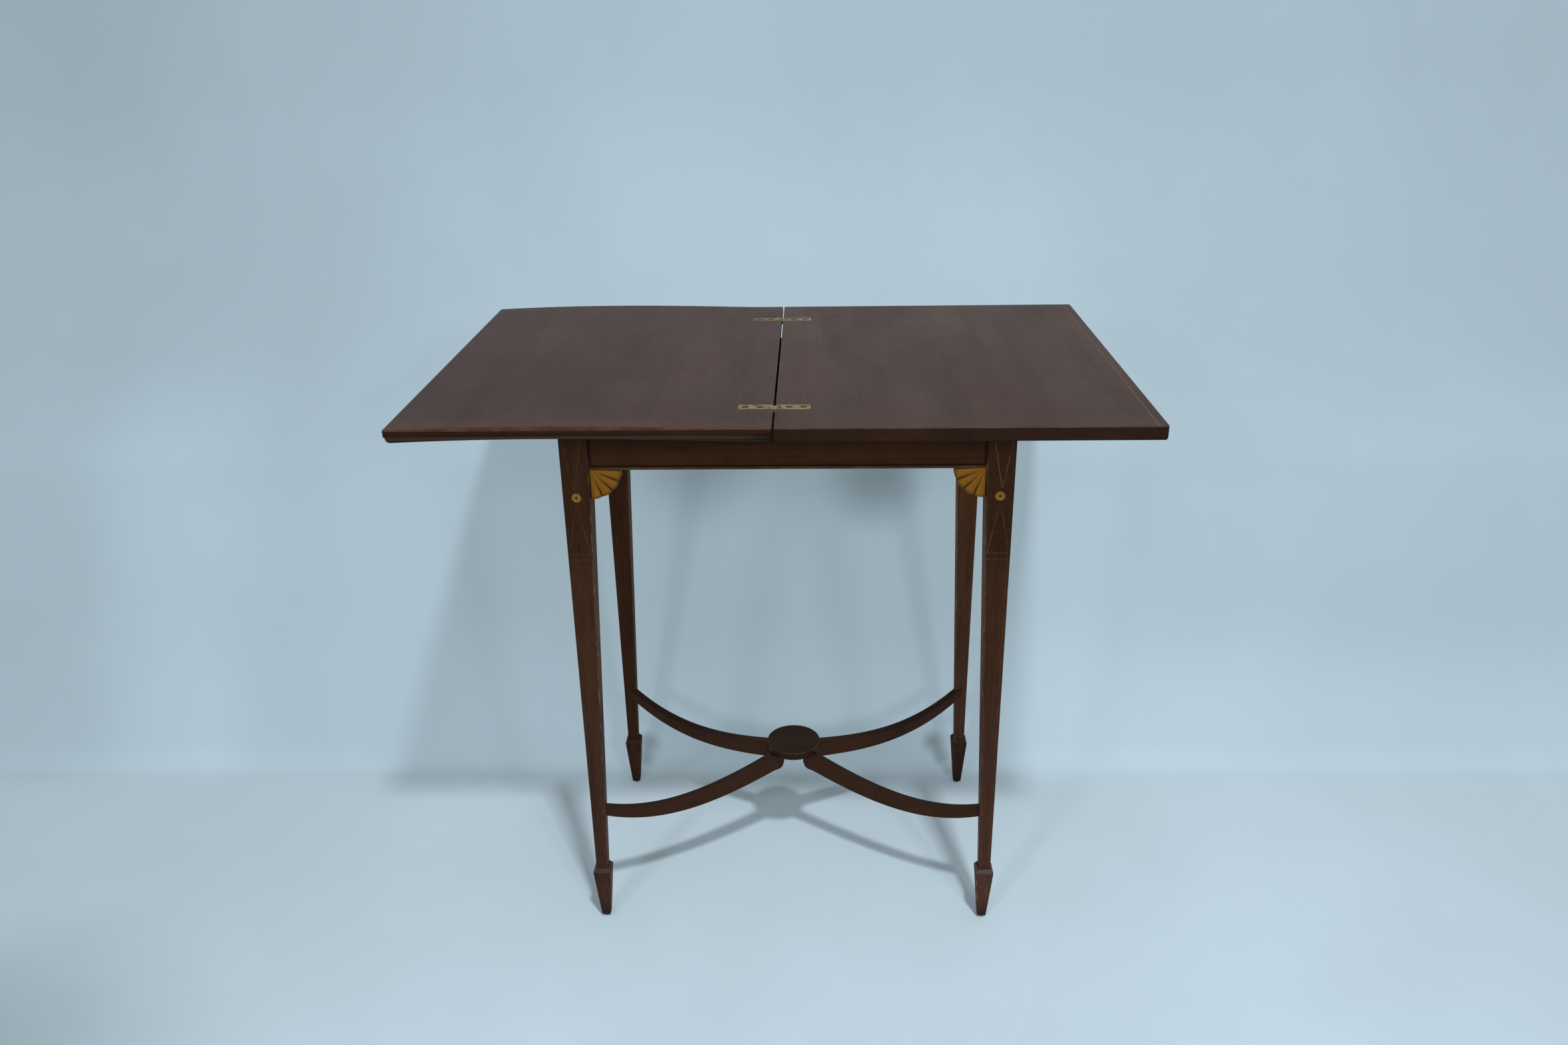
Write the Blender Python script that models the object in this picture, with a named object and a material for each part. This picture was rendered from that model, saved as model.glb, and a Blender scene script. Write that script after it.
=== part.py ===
"""Fold-over games table with a swivel top, shown opened flat.

Metres, +Z up. The front of the table faces -Y. The origin lies on the floor under the middle of the open
top, which is where the two leaves meet, so the base's own middle is a little to the right of it.

The lower leaf turns on a bolt through the pivot bearer. The flap folds over the lower leaf on two flush
counter-flap hinges. Each hinge has a link that turns on one pin in each leaf, so the folded flap lies
flat on the lower leaf.
"""

import math

import bmesh
import bpy
from mathutils import Matrix, Vector

# Whole table
TABLE_HEIGHT = 0.740
BASE_WIDTH = 0.526
BASE_DEPTH = 0.326
BASE_OFFSET = 0.012
CLEARANCE = 0.0003
CUT_OVERRUN = 0.002

# Top
LEAF_LENGTH = 0.546
LEAF_WIDTH = 0.4118
LEAF_THICKNESS = 0.0162
JOINT_GAP = 0.0020
TOP_ARRIS = 0.001
UNDER_ARRIS = 0.0030
LEAF_CORNER = 0.0032
LEAF_CORNER_LEAST = 0.0005
FLAP_FACE = 0.0078
FLAP_STEP = 0.0016
FLAP_MOULD = 0.0070
FLAP_CROWN = 0.0038
CROWN_LEAN_SHARE = 1.2
CROWN_STRIPS = 16

# Legs
LEG_TOP = 0.033
LEG_ANKLE = 0.0152
LEG_ARRIS = 0.0008
FOOT_HEIGHT = 0.083
FOOT_BEVEL = 0.0052
FOOT_SHOULDER = 0.0180
FOOT_WAIST = 0.0236
FOOT_TIP = 0.0118
GLIDE_DIAMETER = 0.0098
GLIDE_HEIGHT = 0.0028
GLIDE_SOLE = 0.0050
GLIDE_NAIL = 0.0016
GLIDE_NAIL_LENGTH = 0.010
ROUNDEL_DIAMETER = 0.0117
ROUNDEL_THICKNESS = 0.0015
ROUNDEL_DROP = 0.1067

# Rails, beads and fan brackets
RAIL_HEIGHT = 0.0675
RAIL_THICKNESS = 0.018
RAIL_SETBACK = 0.004
TENON_THICKNESS = 0.006
TENON_SHOULDER = 0.010
TENON_WEB = 0.003
BEAD_HEIGHT = 0.004
BEAD_PROUD = 0.002
FAN_RADIUS = 0.036
FAN_WIDTH_SHARE = 1.06
FAN_THICKNESS = 0.009
FAN_SCALLOP = 0.0013
FAN_RELIEF = 0.0012
FAN_PETALS = 4
PETAL_STEPS = 6

# Stretcher
DISC_HEIGHT = 0.180
DISC_DIAMETER = 0.074
DISC_THICKNESS = 0.012
DISC_ROUND = 0.0022
ARM_THICKNESS = 0.011
ARM_START = 0.019
ARM_SEAT = 0.034
ARM_NOSE = 0.006
ARM_LEG_HEIGHT = 0.1725
ARM_SAG = 0.024
ARM_LEAN_SHARE = 0.25
ARM_HUB_DEPTH = 0.026
ARM_LEG_DEPTH = 0.015
ARM_ARRIS = 0.0009
ARM_STRIPS = 18
ARM_TENON_LENGTH = 0.008
ARM_TENON_THICKNESS = 0.005
ARM_TENON_HEIGHT = 0.007
STRETCHER_SCREW_PLACE = 0.0280
STRETCHER_SCREW_LENGTH = 0.020
STRETCHER_SCREW_BITE = 0.008
STRETCHER_SCREW_HEAD = 0.006
STRETCHER_SCREW_SHANK = 0.0032

# Counter-flap hinges
HINGE_INSET = 0.074
HINGE_REACH = 0.040
HINGE_WIDTH = 0.016
HINGE_PLATE = 0.0022
HINGE_HALF_LINK = 0.0032
FOLDED_GAP = 0.0003
KNUCKLE_RADIUS = 0.002
KNUCKLE_HEEL = 0.003
LINK_WIDTH = 0.0094
PIN_DIAMETER = 0.002
HINGE_SCREW_NEAR = 0.016
HINGE_SCREW_FAR = 0.032
HINGE_SCREW_HEAD = 0.0078
HINGE_SCREW_SHANK = 0.0032
HINGE_SCREW_RIM = 0.0003
HINGE_SCREW_LENGTH = 0.0115
HINGE_SCREW_TIP = 0.002
SCREW_SLOT = 0.0009
SCREW_SLOT_DEPTH = 0.0008

# Swivel and card well
BEARER_THICKNESS = 0.022
BEARER_SHOULDER = 0.029
BEARER_HOUSING = 0.008
PIVOT_PLATE_DIAMETER = 0.060
PIVOT_PLATE_THICKNESS = 0.003
BOLT_DIAMETER = 0.010
BOLT_HEAD_DIAMETER = 0.019
BOLT_HEAD_THICKNESS = 0.0035
BOLT_TAIL = 0.004
WASHER_DIAMETER = 0.026
WASHER_THICKNESS = 0.002
NUT_WIDTH = 0.017
NUT_HEIGHT = 0.008
PEG_DIAMETER = 0.014
PEG_INSET = 0.048
PEG_DROP = 0.020
PEG_SEAT = 0.008
PARTITION_THICKNESS = 0.010
PARTITION_HOUSING = 0.004
WELL_FLOOR_RISE = 0.006
WELL_FLOOR_THICKNESS = 0.006
WELL_GROOVE = 0.006

# Facets of round pieces
ROUND_SIDES = 40
PLATE_SIDES = 32
ROD_SIDES = 16
SMALL_SIDES = 12
ARC_STEPS = 4
MERGE_DISTANCE = 0.000001
SMOOTH_ANGLE = math.radians(28)

# Heights that the pieces share
LEAF_UNDERSIDE = TABLE_HEIGHT - LEAF_THICKNESS
RAIL_TOP = LEAF_UNDERSIDE - CLEARANCE
RAIL_BOTTOM = RAIL_TOP - RAIL_HEIGHT
BEAD_TOP = RAIL_BOTTOM - CLEARANCE
BEAD_BOTTOM = BEAD_TOP - BEAD_HEIGHT
BEARER_BOTTOM = RAIL_TOP - BEARER_THICKNESS
WELL_FLOOR_BOTTOM = RAIL_BOTTOM + WELL_FLOOR_RISE
FOOT_BOTTOM = GLIDE_HEIGHT + CLEARANCE
DISC_UNDERSIDE = DISC_HEIGHT - DISC_THICKNESS
SCREW_SEAT = DISC_UNDERSIDE + STRETCHER_SCREW_BITE - STRETCHER_SCREW_LENGTH

# Faces of the base, measured from the base's middle
RAIL_FACE_X = BASE_WIDTH / 2 - RAIL_SETBACK
RAIL_FACE_Y = BASE_DEPTH / 2 - RAIL_SETBACK
RAIL_INNER_X = RAIL_FACE_X - RAIL_THICKNESS
RAIL_INNER_Y = RAIL_FACE_Y - RAIL_THICKNESS
LEG_INNER_X = BASE_WIDTH / 2 - LEG_TOP
LEG_INNER_Y = BASE_DEPTH / 2 - LEG_TOP
TENON_LENGTH = LEG_TOP - RAIL_SETBACK - (RAIL_THICKNESS + TENON_THICKNESS) / 2 - TENON_WEB

# The bolt stands where a quarter turn carries the closed top, centred on the base, to its open place
PIVOT_X = (JOINT_GAP / 2 + LEAF_WIDTH / 2 + BASE_OFFSET) / 2
PIVOT_Y = PIVOT_X - BASE_OFFSET

# The stop peg meets the back rail when the top is turned out and the bearer's side when it is turned home
PEG_X = BASE_OFFSET + LEG_INNER_X - PEG_INSET
PEG_Y = RAIL_INNER_Y - CLEARANCE - PEG_DIAMETER / 2
BEARER_LEFT = PIVOT_X - BEARER_SHOULDER
BEARER_RIGHT = PIVOT_X + PEG_Y - PIVOT_Y - PEG_DIAMETER / 2 - CLEARANCE

# Hinge pins lie so deep that the folded leaves keep only the folded gap between them
PIN_DEPTH = HINGE_HALF_LINK - FOLDED_GAP / 2
LINK_RADIUS = PIN_DEPTH
PLATE_START = JOINT_GAP / 2 + TOP_ARRIS
SLOT_END = HINGE_HALF_LINK + LINK_RADIUS + CLEARANCE
KNUCKLE_END = SLOT_END + KNUCKLE_HEEL
HINGE_Y = LEAF_LENGTH / 2 - HINGE_INSET
CROWN_START = HINGE_REACH + TOP_ARRIS

AXES = {"X": Vector((1, 0, 0)), "Y": Vector((0, 1, 0)), "Z": Vector((0, 0, 1))}
SIDES = {"left": -1, "right": 1}
ENDS = {"front": -1, "back": 1}


# Mesh helpers

def on_axis(axis, along, first, second):
    """A point from its place along an axis and its two places across it, in X, Y, Z order."""
    if axis == "X":
        return Vector((along, first, second))
    if axis == "Y":
        return Vector((first, along, second))
    return Vector((first, second, along))


def add_box(bm, low, high):
    """A box between two opposite corners."""
    low = Vector(low)
    high = Vector(high)
    matrix = Matrix.Translation((low + high) / 2) @ Matrix.Diagonal((*(high - low), 1))
    bmesh.ops.create_cube(bm, size=1, matrix=matrix)


def add_rod(bm, start, axis, diameter, length, sides=ROD_SIDES):
    """A round or many-sided rod that runs from its start along an axis."""
    direction = AXES[axis]
    turn = AXES["Z"].rotation_difference(direction).to_matrix().to_4x4()
    middle = Vector(start) + direction * length / 2
    bmesh.ops.create_cone(
        bm,
        cap_ends=True,
        segments=sides,
        radius1=diameter / 2,
        radius2=diameter / 2,
        depth=length,
        matrix=Matrix.Translation(middle) @ turn,
    )


def add_stack(bm, levels, axis):
    """Rectangles in turn along an axis, joined side to side and closed at both ends.

    A level is its place along the axis, then the low and high limits in the two cross directions.
    """
    rings = []
    for along, low_a, high_a, low_b, high_b in levels:
        corners = ((low_a, low_b), (high_a, low_b), (high_a, high_b), (low_a, high_b))
        rings.append([bm.verts.new(on_axis(axis, along, a, b)) for a, b in corners])
    for ring, following in zip(rings, rings[1:]):
        for here in range(4):
            beside = (here + 1) % 4
            bm.faces.new((ring[here], ring[beside], following[beside], following[here]))
    bm.faces.new(rings[0])
    bm.faces.new(rings[-1])


def add_prism(bm, outline, axis, start, length):
    """A flat outline, pushed out along an axis."""
    base = bm.faces.new([bm.verts.new(on_axis(axis, start, a, b)) for a, b in outline])
    pushed = bmesh.ops.extrude_face_region(bm, geom=[base])
    far_verts = [item for item in pushed["geom"] if isinstance(item, bmesh.types.BMVert)]
    bmesh.ops.translate(bm, verts=far_verts, vec=AXES[axis] * length)


def add_turned(bm, profile, sides=ROUND_SIDES, ring=False, at=(0, 0)):
    """Radius and height points, spun about a line parallel to Z. A ring's profile closes on itself."""
    verts = [bm.verts.new((at[0] + radius, at[1], height)) for radius, height in profile]
    edges = [bm.edges.new(pair) for pair in zip(verts, verts[1:])]
    if ring:
        edges.append(bm.edges.new((verts[-1], verts[0])))
    bmesh.ops.spin(
        bm,
        geom=verts + edges,
        cent=(at[0], at[1], 0),
        axis=AXES["Z"],
        angle=math.tau,
        steps=sides,
    )
    bmesh.ops.remove_doubles(bm, verts=bm.verts, dist=MERGE_DISTANCE)


def arc(centre, radius, start, end, steps=ARC_STEPS):
    """Points on an arc between two angles in degrees, ends included. The radius may be a pair."""
    wide, tall = radius if isinstance(radius, tuple) else (radius, radius)
    points = []
    for step in range(steps + 1):
        angle = math.radians(start + (end - start) * step / steps)
        points.append((centre[0] + wide * math.cos(angle), centre[1] + tall * math.sin(angle)))
    return points


def soften_long_edges(bm, axis, width):
    """Takes the arris off the edges that run along an axis."""
    place = "XYZ".index(axis)
    long_edges = [
        edge for edge in bm.edges
        if abs(edge.verts[0].co[place] - edge.verts[1].co[place]) > width
    ]
    bmesh.ops.bevel(
        bm, geom=long_edges, offset=width, offset_type="OFFSET", segments=2, profile=0.5, affect="EDGES"
    )


# Scene helpers

def clear_scene():
    """Removes whatever the file opened with."""
    for old in list(bpy.data.objects):
        bpy.data.objects.remove(old, do_unlink=True)


def new_finish(name, colour, roughness, metallic=0.0):
    """A Principled material."""
    made = bpy.data.materials.new(name)
    made.use_nodes = True
    shader = made.node_tree.nodes["Principled BSDF"]
    shader.inputs["Base Color"].default_value = (*colour, 1.0)
    shader.inputs["Roughness"].default_value = roughness
    shader.inputs["Metallic"].default_value = metallic
    return made


def origin_of(holder):
    """An object's origin in the world, for objects whose parents aren't turned."""
    spot = Vector((0, 0, 0))
    while holder is not None:
        spot += holder.location
        holder = holder.parent
    return spot


def place(item, at, parent, turn=0.0):
    """Puts an object at a world point, under a parent or none."""
    bpy.context.collection.objects.link(item)
    item.location = Vector(at) - origin_of(parent)
    item.rotation_euler = (0, 0, turn)
    item.parent = parent


def add_axis(name, at, parent=None):
    """An empty on a joint's axis, which carries what the joint moves."""
    holder = bpy.data.objects.new(name, None)
    place(holder, at, parent)
    return holder


def add_piece(name, bm, finish, at=(0, 0, 0), parent=None, turn=0.0, smooth=False):
    """Makes a named object of a mesh."""
    bmesh.ops.recalc_face_normals(bm, faces=bm.faces)
    mesh = bpy.data.meshes.new(name)
    bm.to_mesh(mesh)
    bm.free()
    if smooth:
        mesh.shade_smooth()
        mesh.set_sharp_from_angle(angle=SMOOTH_ANGLE)
    if finish is not None:
        mesh.materials.append(finish)
    piece = bpy.data.objects.new(name, mesh)
    place(piece, at, parent, turn)
    return piece


def add_cutter(name, bm, at=(0, 0, 0), parent=None, turn=0.0):
    """A solid that only shapes other pieces."""
    cutter = add_piece(name, bm, None, at, parent, turn)
    cutter.hide_render = True
    cutter.display_type = "WIRE"
    return cutter


def cut(piece, cutter, operation="DIFFERENCE"):
    """Takes the cutter's space out of a piece, or joins it to the piece."""
    knife = piece.modifiers.new(cutter.name, "BOOLEAN")
    knife.operation = operation
    knife.solver = "EXACT"
    knife.object = cutter


# Legs

def leg_width_at(height):
    """The shaft is square in the frieze and tapers on its two inner faces down to the ankle."""
    if height >= BEAD_BOTTOM:
        return LEG_TOP
    share = (height - FOOT_HEIGHT) / (BEAD_BOTTOM - FOOT_HEIGHT)
    return LEG_ANKLE + (LEG_TOP - LEG_ANKLE) * share


def leg_levels(grow=0.0):
    """Levels of a leg, from its outer corner inwards: the spade foot, the taper and the square head."""
    middle = LEG_ANKLE / 2
    tip = FOOT_TIP / 2 + grow
    waist = FOOT_WAIST / 2 + grow
    shoulder = FOOT_SHOULDER / 2 + grow
    return (
        (FOOT_BOTTOM - grow, middle - tip, middle + tip),
        (FOOT_HEIGHT - FOOT_BEVEL, middle - waist, middle + waist),
        (FOOT_HEIGHT + grow, middle - shoulder, middle + shoulder),
        (FOOT_HEIGHT + grow, -grow, LEG_ANKLE + grow),
        (BEAD_BOTTOM, -grow, LEG_TOP + grow),
        (RAIL_TOP + grow, -grow, LEG_TOP + grow),
    )


def leg_mesh(side, end, grow=0.0):
    """A leg about its outer corner. Side and end are -1 or 1 and point outwards."""
    levels = []
    for height, low, high in leg_levels(grow):
        levels.append((height, *sorted((-side * low, -side * high)), *sorted((-end * low, -end * high))))
    bm = bmesh.new()
    add_stack(bm, levels, "Z")
    return bm


def leg_corner(side, end):
    """A leg's outer corner, on the floor."""
    return Vector((BASE_OFFSET + side * BASE_WIDTH / 2, end * BASE_DEPTH / 2, 0))


def add_glide(name, side, end, iron):
    """A domed glide with its nail, about the foot's middle."""
    rim = GLIDE_DIAMETER / 2
    sole = GLIDE_SOLE / 2
    nail = GLIDE_NAIL / 2
    nail_top = GLIDE_HEIGHT + GLIDE_NAIL_LENGTH
    profile = [(0, 0)] + arc((sole, GLIDE_HEIGHT), (rim - sole, GLIDE_HEIGHT), -90, 0, 3)
    profile += [(nail, GLIDE_HEIGHT), (nail, nail_top - nail), (0, nail_top)]
    bm = bmesh.new()
    add_turned(bm, profile, SMALL_SIDES)
    middle = leg_corner(side, end) - Vector((side * LEG_ANKLE / 2, end * LEG_ANKLE / 2, 0))
    add_piece(name, bm, iron, middle, smooth=True)


def add_leg(name, side, end, wood):
    """A leg about its outer corner, with mortises for two rails and one stretcher arm."""
    bm = leg_mesh(side, end)
    soften_long_edges(bm, "Z", LEG_ARRIS)
    leg = add_piece(name, bm, wood, leg_corner(side, end), smooth=True)

    # One mortise for each rail's tenon, and the hole for the glide's nail
    holes = bmesh.new()
    low = RAIL_BOTTOM + TENON_SHOULDER - CLEARANCE
    high = RAIL_TOP - TENON_SHOULDER + CLEARANCE
    near = RAIL_SETBACK + (RAIL_THICKNESS - TENON_THICKNESS) / 2 - CLEARANCE
    far = near + TENON_THICKNESS + 2 * CLEARANCE
    deep = LEG_TOP - TENON_LENGTH - CLEARANCE
    mouth = LEG_TOP + CUT_OVERRUN
    for box in ((deep, mouth, near, far), (near, far, deep, mouth)):
        across = sorted((-side * box[0], -side * box[1]))
        through = sorted((-end * box[2], -end * box[3]))
        add_box(holes, (across[0], through[0], low), (across[1], through[1], high))
    middle = LEG_ANKLE / 2
    add_rod(
        holes,
        (-side * middle, -end * middle, FOOT_BOTTOM - CUT_OVERRUN),
        "Z",
        GLIDE_NAIL + 2 * CLEARANCE,
        GLIDE_NAIL_LENGTH + CUT_OVERRUN + CLEARANCE,
    )
    cut(leg, add_cutter(name + "_holes", holes, leg_corner(side, end)))
    return leg


def add_roundel(name, side, leg, boxwood):
    """A boxwood disc let into the front of a front leg, in the middle of its width."""
    height = LEAF_UNDERSIDE - ROUNDEL_DROP
    corner = leg_corner(side, ENDS["front"])
    centre = corner + Vector((-side * leg_width_at(height) / 2, 0, height))
    bm = bmesh.new()
    add_rod(bm, (0, 0, 0), "Y", ROUNDEL_DIAMETER, ROUNDEL_THICKNESS, ROUND_SIDES)
    seat = bmesh.new()
    wide = ROUNDEL_DIAMETER + 2 * CLEARANCE
    add_rod(seat, (0, -CUT_OVERRUN, 0), "Y", wide, CUT_OVERRUN + ROUNDEL_THICKNESS + CLEARANCE, ROUND_SIDES)
    cut(leg, add_cutter(name + "_seat", seat, centre))
    add_piece(name, bm, boxwood, centre, smooth=True)


# Rails, beads and fan brackets

def rail_levels(half_body):
    """A rail along its length, with a tenon at each end. The cross directions are thickness and height."""
    thin_low = (RAIL_THICKNESS - TENON_THICKNESS) / 2
    thin_high = thin_low + TENON_THICKNESS
    tenon = (thin_low, thin_high, TENON_SHOULDER, RAIL_HEIGHT - TENON_SHOULDER)
    body = (0, RAIL_THICKNESS, 0, RAIL_HEIGHT)
    half_tenon = half_body + TENON_LENGTH
    return (
        (-half_tenon, *tenon),
        (-half_body, *tenon),
        (-half_body, *body),
        (half_body, *body),
        (half_body, *tenon),
        (half_tenon, *tenon),
    )


def bearer_box():
    """The pivot bearer lies flat across the frame, under the top, housed into the front and back rails."""
    reach = RAIL_INNER_Y + BEARER_HOUSING
    low = Vector((BEARER_LEFT, -reach, BEARER_BOTTOM))
    high = Vector((BEARER_RIGHT, reach, RAIL_TOP))
    return low, high


def partition_box():
    """The right wall of the card well stands under the bearer's left edge."""
    reach = RAIL_INNER_Y + PARTITION_HOUSING
    low = Vector((BEARER_LEFT, -reach, RAIL_BOTTOM))
    high = Vector((BEARER_LEFT + PARTITION_THICKNESS, reach, BEARER_BOTTOM - CLEARANCE))
    return low, high


def well_floor_box():
    """The floor of the card well, whose edges lie in grooves of three rails."""
    reach = RAIL_INNER_Y + WELL_GROOVE
    left = BASE_OFFSET - RAIL_INNER_X - WELL_GROOVE
    right = BEARER_LEFT - CLEARANCE
    low = Vector((left, -reach, WELL_FLOOR_BOTTOM))
    high = Vector((right, reach, WELL_FLOOR_BOTTOM + WELL_FLOOR_THICKNESS))
    return low, high


def add_rail_cutters():
    """The spaces that the bearer, the partition and the well floor take out of the rails."""
    grow = Vector((CLEARANCE, CLEARANCE, CLEARANCE))
    open_top = Vector((0, 0, CUT_OVERRUN))
    cutters = {}
    for name, (low, high) in (
        ("bearer_housing", bearer_box()),
        ("partition_housing", partition_box()),
        ("well_groove", well_floor_box()),
    ):
        bm = bmesh.new()
        add_box(bm, low - grow, high + grow + (open_top if name == "bearer_housing" else Vector()))
        cutters[name] = add_cutter(name, bm)
    return cutters


def add_rail(name, axis, way, wood, cutters):
    """A rail along X or Y. Way is -1 or 1 and points from the frame's middle to the rail."""
    inner = LEG_INNER_X if axis == "X" else LEG_INNER_Y
    levels = []
    for along, thin_low, thin_high, low, high in rail_levels(inner - CLEARANCE):
        levels.append((along, *sorted((-way * thin_low, -way * thin_high)), low, high))
    bm = bmesh.new()
    add_stack(bm, levels, axis)
    if axis == "X":
        at = (BASE_OFFSET, way * RAIL_FACE_Y, RAIL_BOTTOM)
    else:
        at = (BASE_OFFSET + way * RAIL_FACE_X, 0, RAIL_BOTTOM)
    rail = add_piece(name, bm, wood, at)
    for cutter in cutters:
        cut(rail, cutter)


def add_bead(name, axis, way, wood):
    """A strip under a rail, with a half-round nose that stands proud of the rail's face."""
    nose = BEAD_HEIGHT / 2
    flat = RAIL_THICKNESS + BEAD_PROUD - nose
    outline = [(0, 0)] + arc((flat, nose), nose, -90, 90, 7) + [(0, BEAD_HEIGHT)]
    outline = [(way * out, height) for out, height in outline]
    half = (LEG_INNER_X if axis == "X" else LEG_INNER_Y) - CLEARANCE
    bm = bmesh.new()
    add_prism(bm, outline, axis, -half, 2 * half)
    if axis == "X":
        at = (BASE_OFFSET, way * RAIL_INNER_Y, BEAD_BOTTOM)
    else:
        at = (BASE_OFFSET + way * RAIL_INNER_X, 0, BEAD_BOTTOM)
    add_piece(name, bm, wood, at, smooth=True)


def add_fan(name, side, wood):
    """A quarter fan in the corner of leg and bead: petals that swell to a scalloped rim.

    Its upright edge follows the leg's taper, so it sweeps a little more than a quarter.
    """
    slope = math.atan2(LEG_TOP - LEG_ANKLE, BEAD_BOTTOM - FOOT_HEIGHT)
    sweep = math.pi / 2 + slope
    count = FAN_PETALS * PETAL_STEPS
    bm = bmesh.new()
    front_tip = bm.verts.new((0, 0, 0))
    back_tip = bm.verts.new((0, FAN_THICKNESS, 0))
    front_rim = []
    back_rim = []
    for step in range(count + 1):
        swell = math.sin(math.pi * (step % PETAL_STEPS) / PETAL_STEPS)
        radius = FAN_RADIUS - FAN_SCALLOP * (1 - swell)
        angle = sweep * step / count
        across = -side * FAN_WIDTH_SHARE * radius * math.cos(angle)
        down = -radius * math.sin(angle)
        front_rim.append(bm.verts.new((across, -FAN_RELIEF * swell, down)))
        back_rim.append(bm.verts.new((across, FAN_THICKNESS, down)))
    for step in range(count):
        bm.faces.new((front_tip, front_rim[step], front_rim[step + 1]))
        bm.faces.new((back_tip, back_rim[step + 1], back_rim[step]))
        bm.faces.new((front_rim[step], back_rim[step], back_rim[step + 1], front_rim[step + 1]))
    bm.faces.new((front_tip, back_tip, back_rim[0], front_rim[0]))
    bm.faces.new((front_tip, front_rim[-1], back_rim[-1], back_tip))
    at = (
        BASE_OFFSET + side * (LEG_INNER_X - CLEARANCE),
        -RAIL_FACE_Y,
        BEAD_BOTTOM - CLEARANCE,
    )
    add_piece(name, bm, wood, at, smooth=True)


# Stretcher

def arm_reach():
    """The distance from the base's middle to the inner corner of a leg, and the direction there."""
    width = leg_width_at(ARM_LEG_HEIGHT - ARM_LEG_DEPTH / 2)
    across = BASE_WIDTH / 2 - width
    deep = BASE_DEPTH / 2 - width
    return math.hypot(across, deep), math.atan2(deep, across)


def arm_span(along):
    """The arm's lower and upper edge at a distance from the middle. It sags between disc and leg."""
    reach = arm_reach()[0]
    share = max(0, along - ARM_SEAT) / (reach - ARM_SEAT)
    hub_height = DISC_UNDERSIDE - CLEARANCE
    chord = hub_height + (ARM_LEG_HEIGHT - hub_height) * share
    lean = 1 + ARM_LEAN_SHARE * (2 * share - 1)
    high = chord - 4 * ARM_SAG * share * (1 - share) * lean
    depth = ARM_HUB_DEPTH + (ARM_LEG_DEPTH - ARM_HUB_DEPTH) * share
    return high - depth, high


def arm_levels():
    """The arm from its rounded inner end to beyond the leg's corner, where the leg cuts it to fit."""
    half = ARM_THICKNESS / 2
    levels = []
    for short, lift in arc((ARM_NOSE, ARM_NOSE), ARM_NOSE, 180, 270):
        low, high = arm_span(ARM_START + short)
        levels.append((ARM_START + short, -half, half, low + lift, high))
    start = ARM_START + ARM_NOSE
    run = arm_reach()[0] + ARM_THICKNESS - start
    for step in range(1, ARM_STRIPS + 1):
        along = start + run * step / ARM_STRIPS
        low, high = arm_span(along)
        levels.append((along, -half, half, low, high))
    return levels


def stretcher_screw_profile():
    """A countersunk screw, head down, from its head's face under an arm to its point in the disc."""
    head = STRETCHER_SCREW_HEAD / 2
    shank = STRETCHER_SCREW_SHANK / 2
    cone_top = SCREW_SEAT + head - shank
    tip = SCREW_SEAT + STRETCHER_SCREW_LENGTH
    return [(0, SCREW_SEAT), (head, SCREW_SEAT), (shank, cone_top), (shank, tip - shank), (0, tip)]


def stretcher_bore_profile():
    """The screw's hole through an arm: a counterbore from below, a countersink, and the shank's hole."""
    head = STRETCHER_SCREW_HEAD / 2 + CLEARANCE
    shank = STRETCHER_SCREW_SHANK / 2 + CLEARANCE
    seat = SCREW_SEAT + CLEARANCE
    foot = DISC_UNDERSIDE - ARM_HUB_DEPTH - ARM_SAG
    neck = seat + head - shank
    return [(0, foot), (head, foot), (head, seat), (shank, neck), (shank, DISC_HEIGHT), (0, DISC_HEIGHT)]


def add_arm(name, side, end, leg, wood, steel):
    """An arm and its screw, turned to point at its leg. The leg's corner is cut out of its end."""
    reach, angle = arm_reach()
    turn = math.atan2(end * math.sin(angle), side * math.cos(angle))
    centre = (BASE_OFFSET, 0, 0)
    bm = bmesh.new()
    add_stack(bm, arm_levels(), "X")
    soften_long_edges(bm, "X", ARM_ARRIS)
    arm = add_piece(name, bm, wood, centre, turn=turn, smooth=True)

    clear_leg = leg_mesh(side, end, CLEARANCE)
    cut(arm, add_cutter(name + "_leg_space", clear_leg, leg_corner(side, end)))

    middle = ARM_LEG_HEIGHT - ARM_LEG_DEPTH / 2
    half_tenon = Vector((0, ARM_TENON_THICKNESS / 2, ARM_TENON_HEIGHT / 2))
    grow = Vector((0, CLEARANCE, CLEARANCE))
    root = Vector((reach - ARM_TENON_THICKNESS, 0, middle))
    tip = Vector((reach + ARM_TENON_LENGTH, 0, middle))
    tenon = bmesh.new()
    add_box(tenon, root - half_tenon, tip + half_tenon)
    cut(arm, add_cutter(name + "_tenon", tenon, centre, turn=turn), "UNION")
    mortise = bmesh.new()
    add_box(mortise, root - half_tenon - grow, tip + half_tenon + grow + Vector((CLEARANCE, 0, 0)))
    cut(leg, add_cutter(name + "_mortise", mortise, centre, turn=turn))

    screw_at = (STRETCHER_SCREW_PLACE, 0)
    bore = bmesh.new()
    add_turned(bore, stretcher_bore_profile(), ROD_SIDES, at=screw_at)
    cut(arm, add_cutter(name + "_bore", bore, centre, turn=turn))
    screw = bmesh.new()
    add_turned(screw, stretcher_screw_profile(), ROD_SIDES, at=screw_at)
    add_piece(name.replace("arm", "screw"), screw, steel, centre, turn=turn, smooth=True)
    return turn


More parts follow.
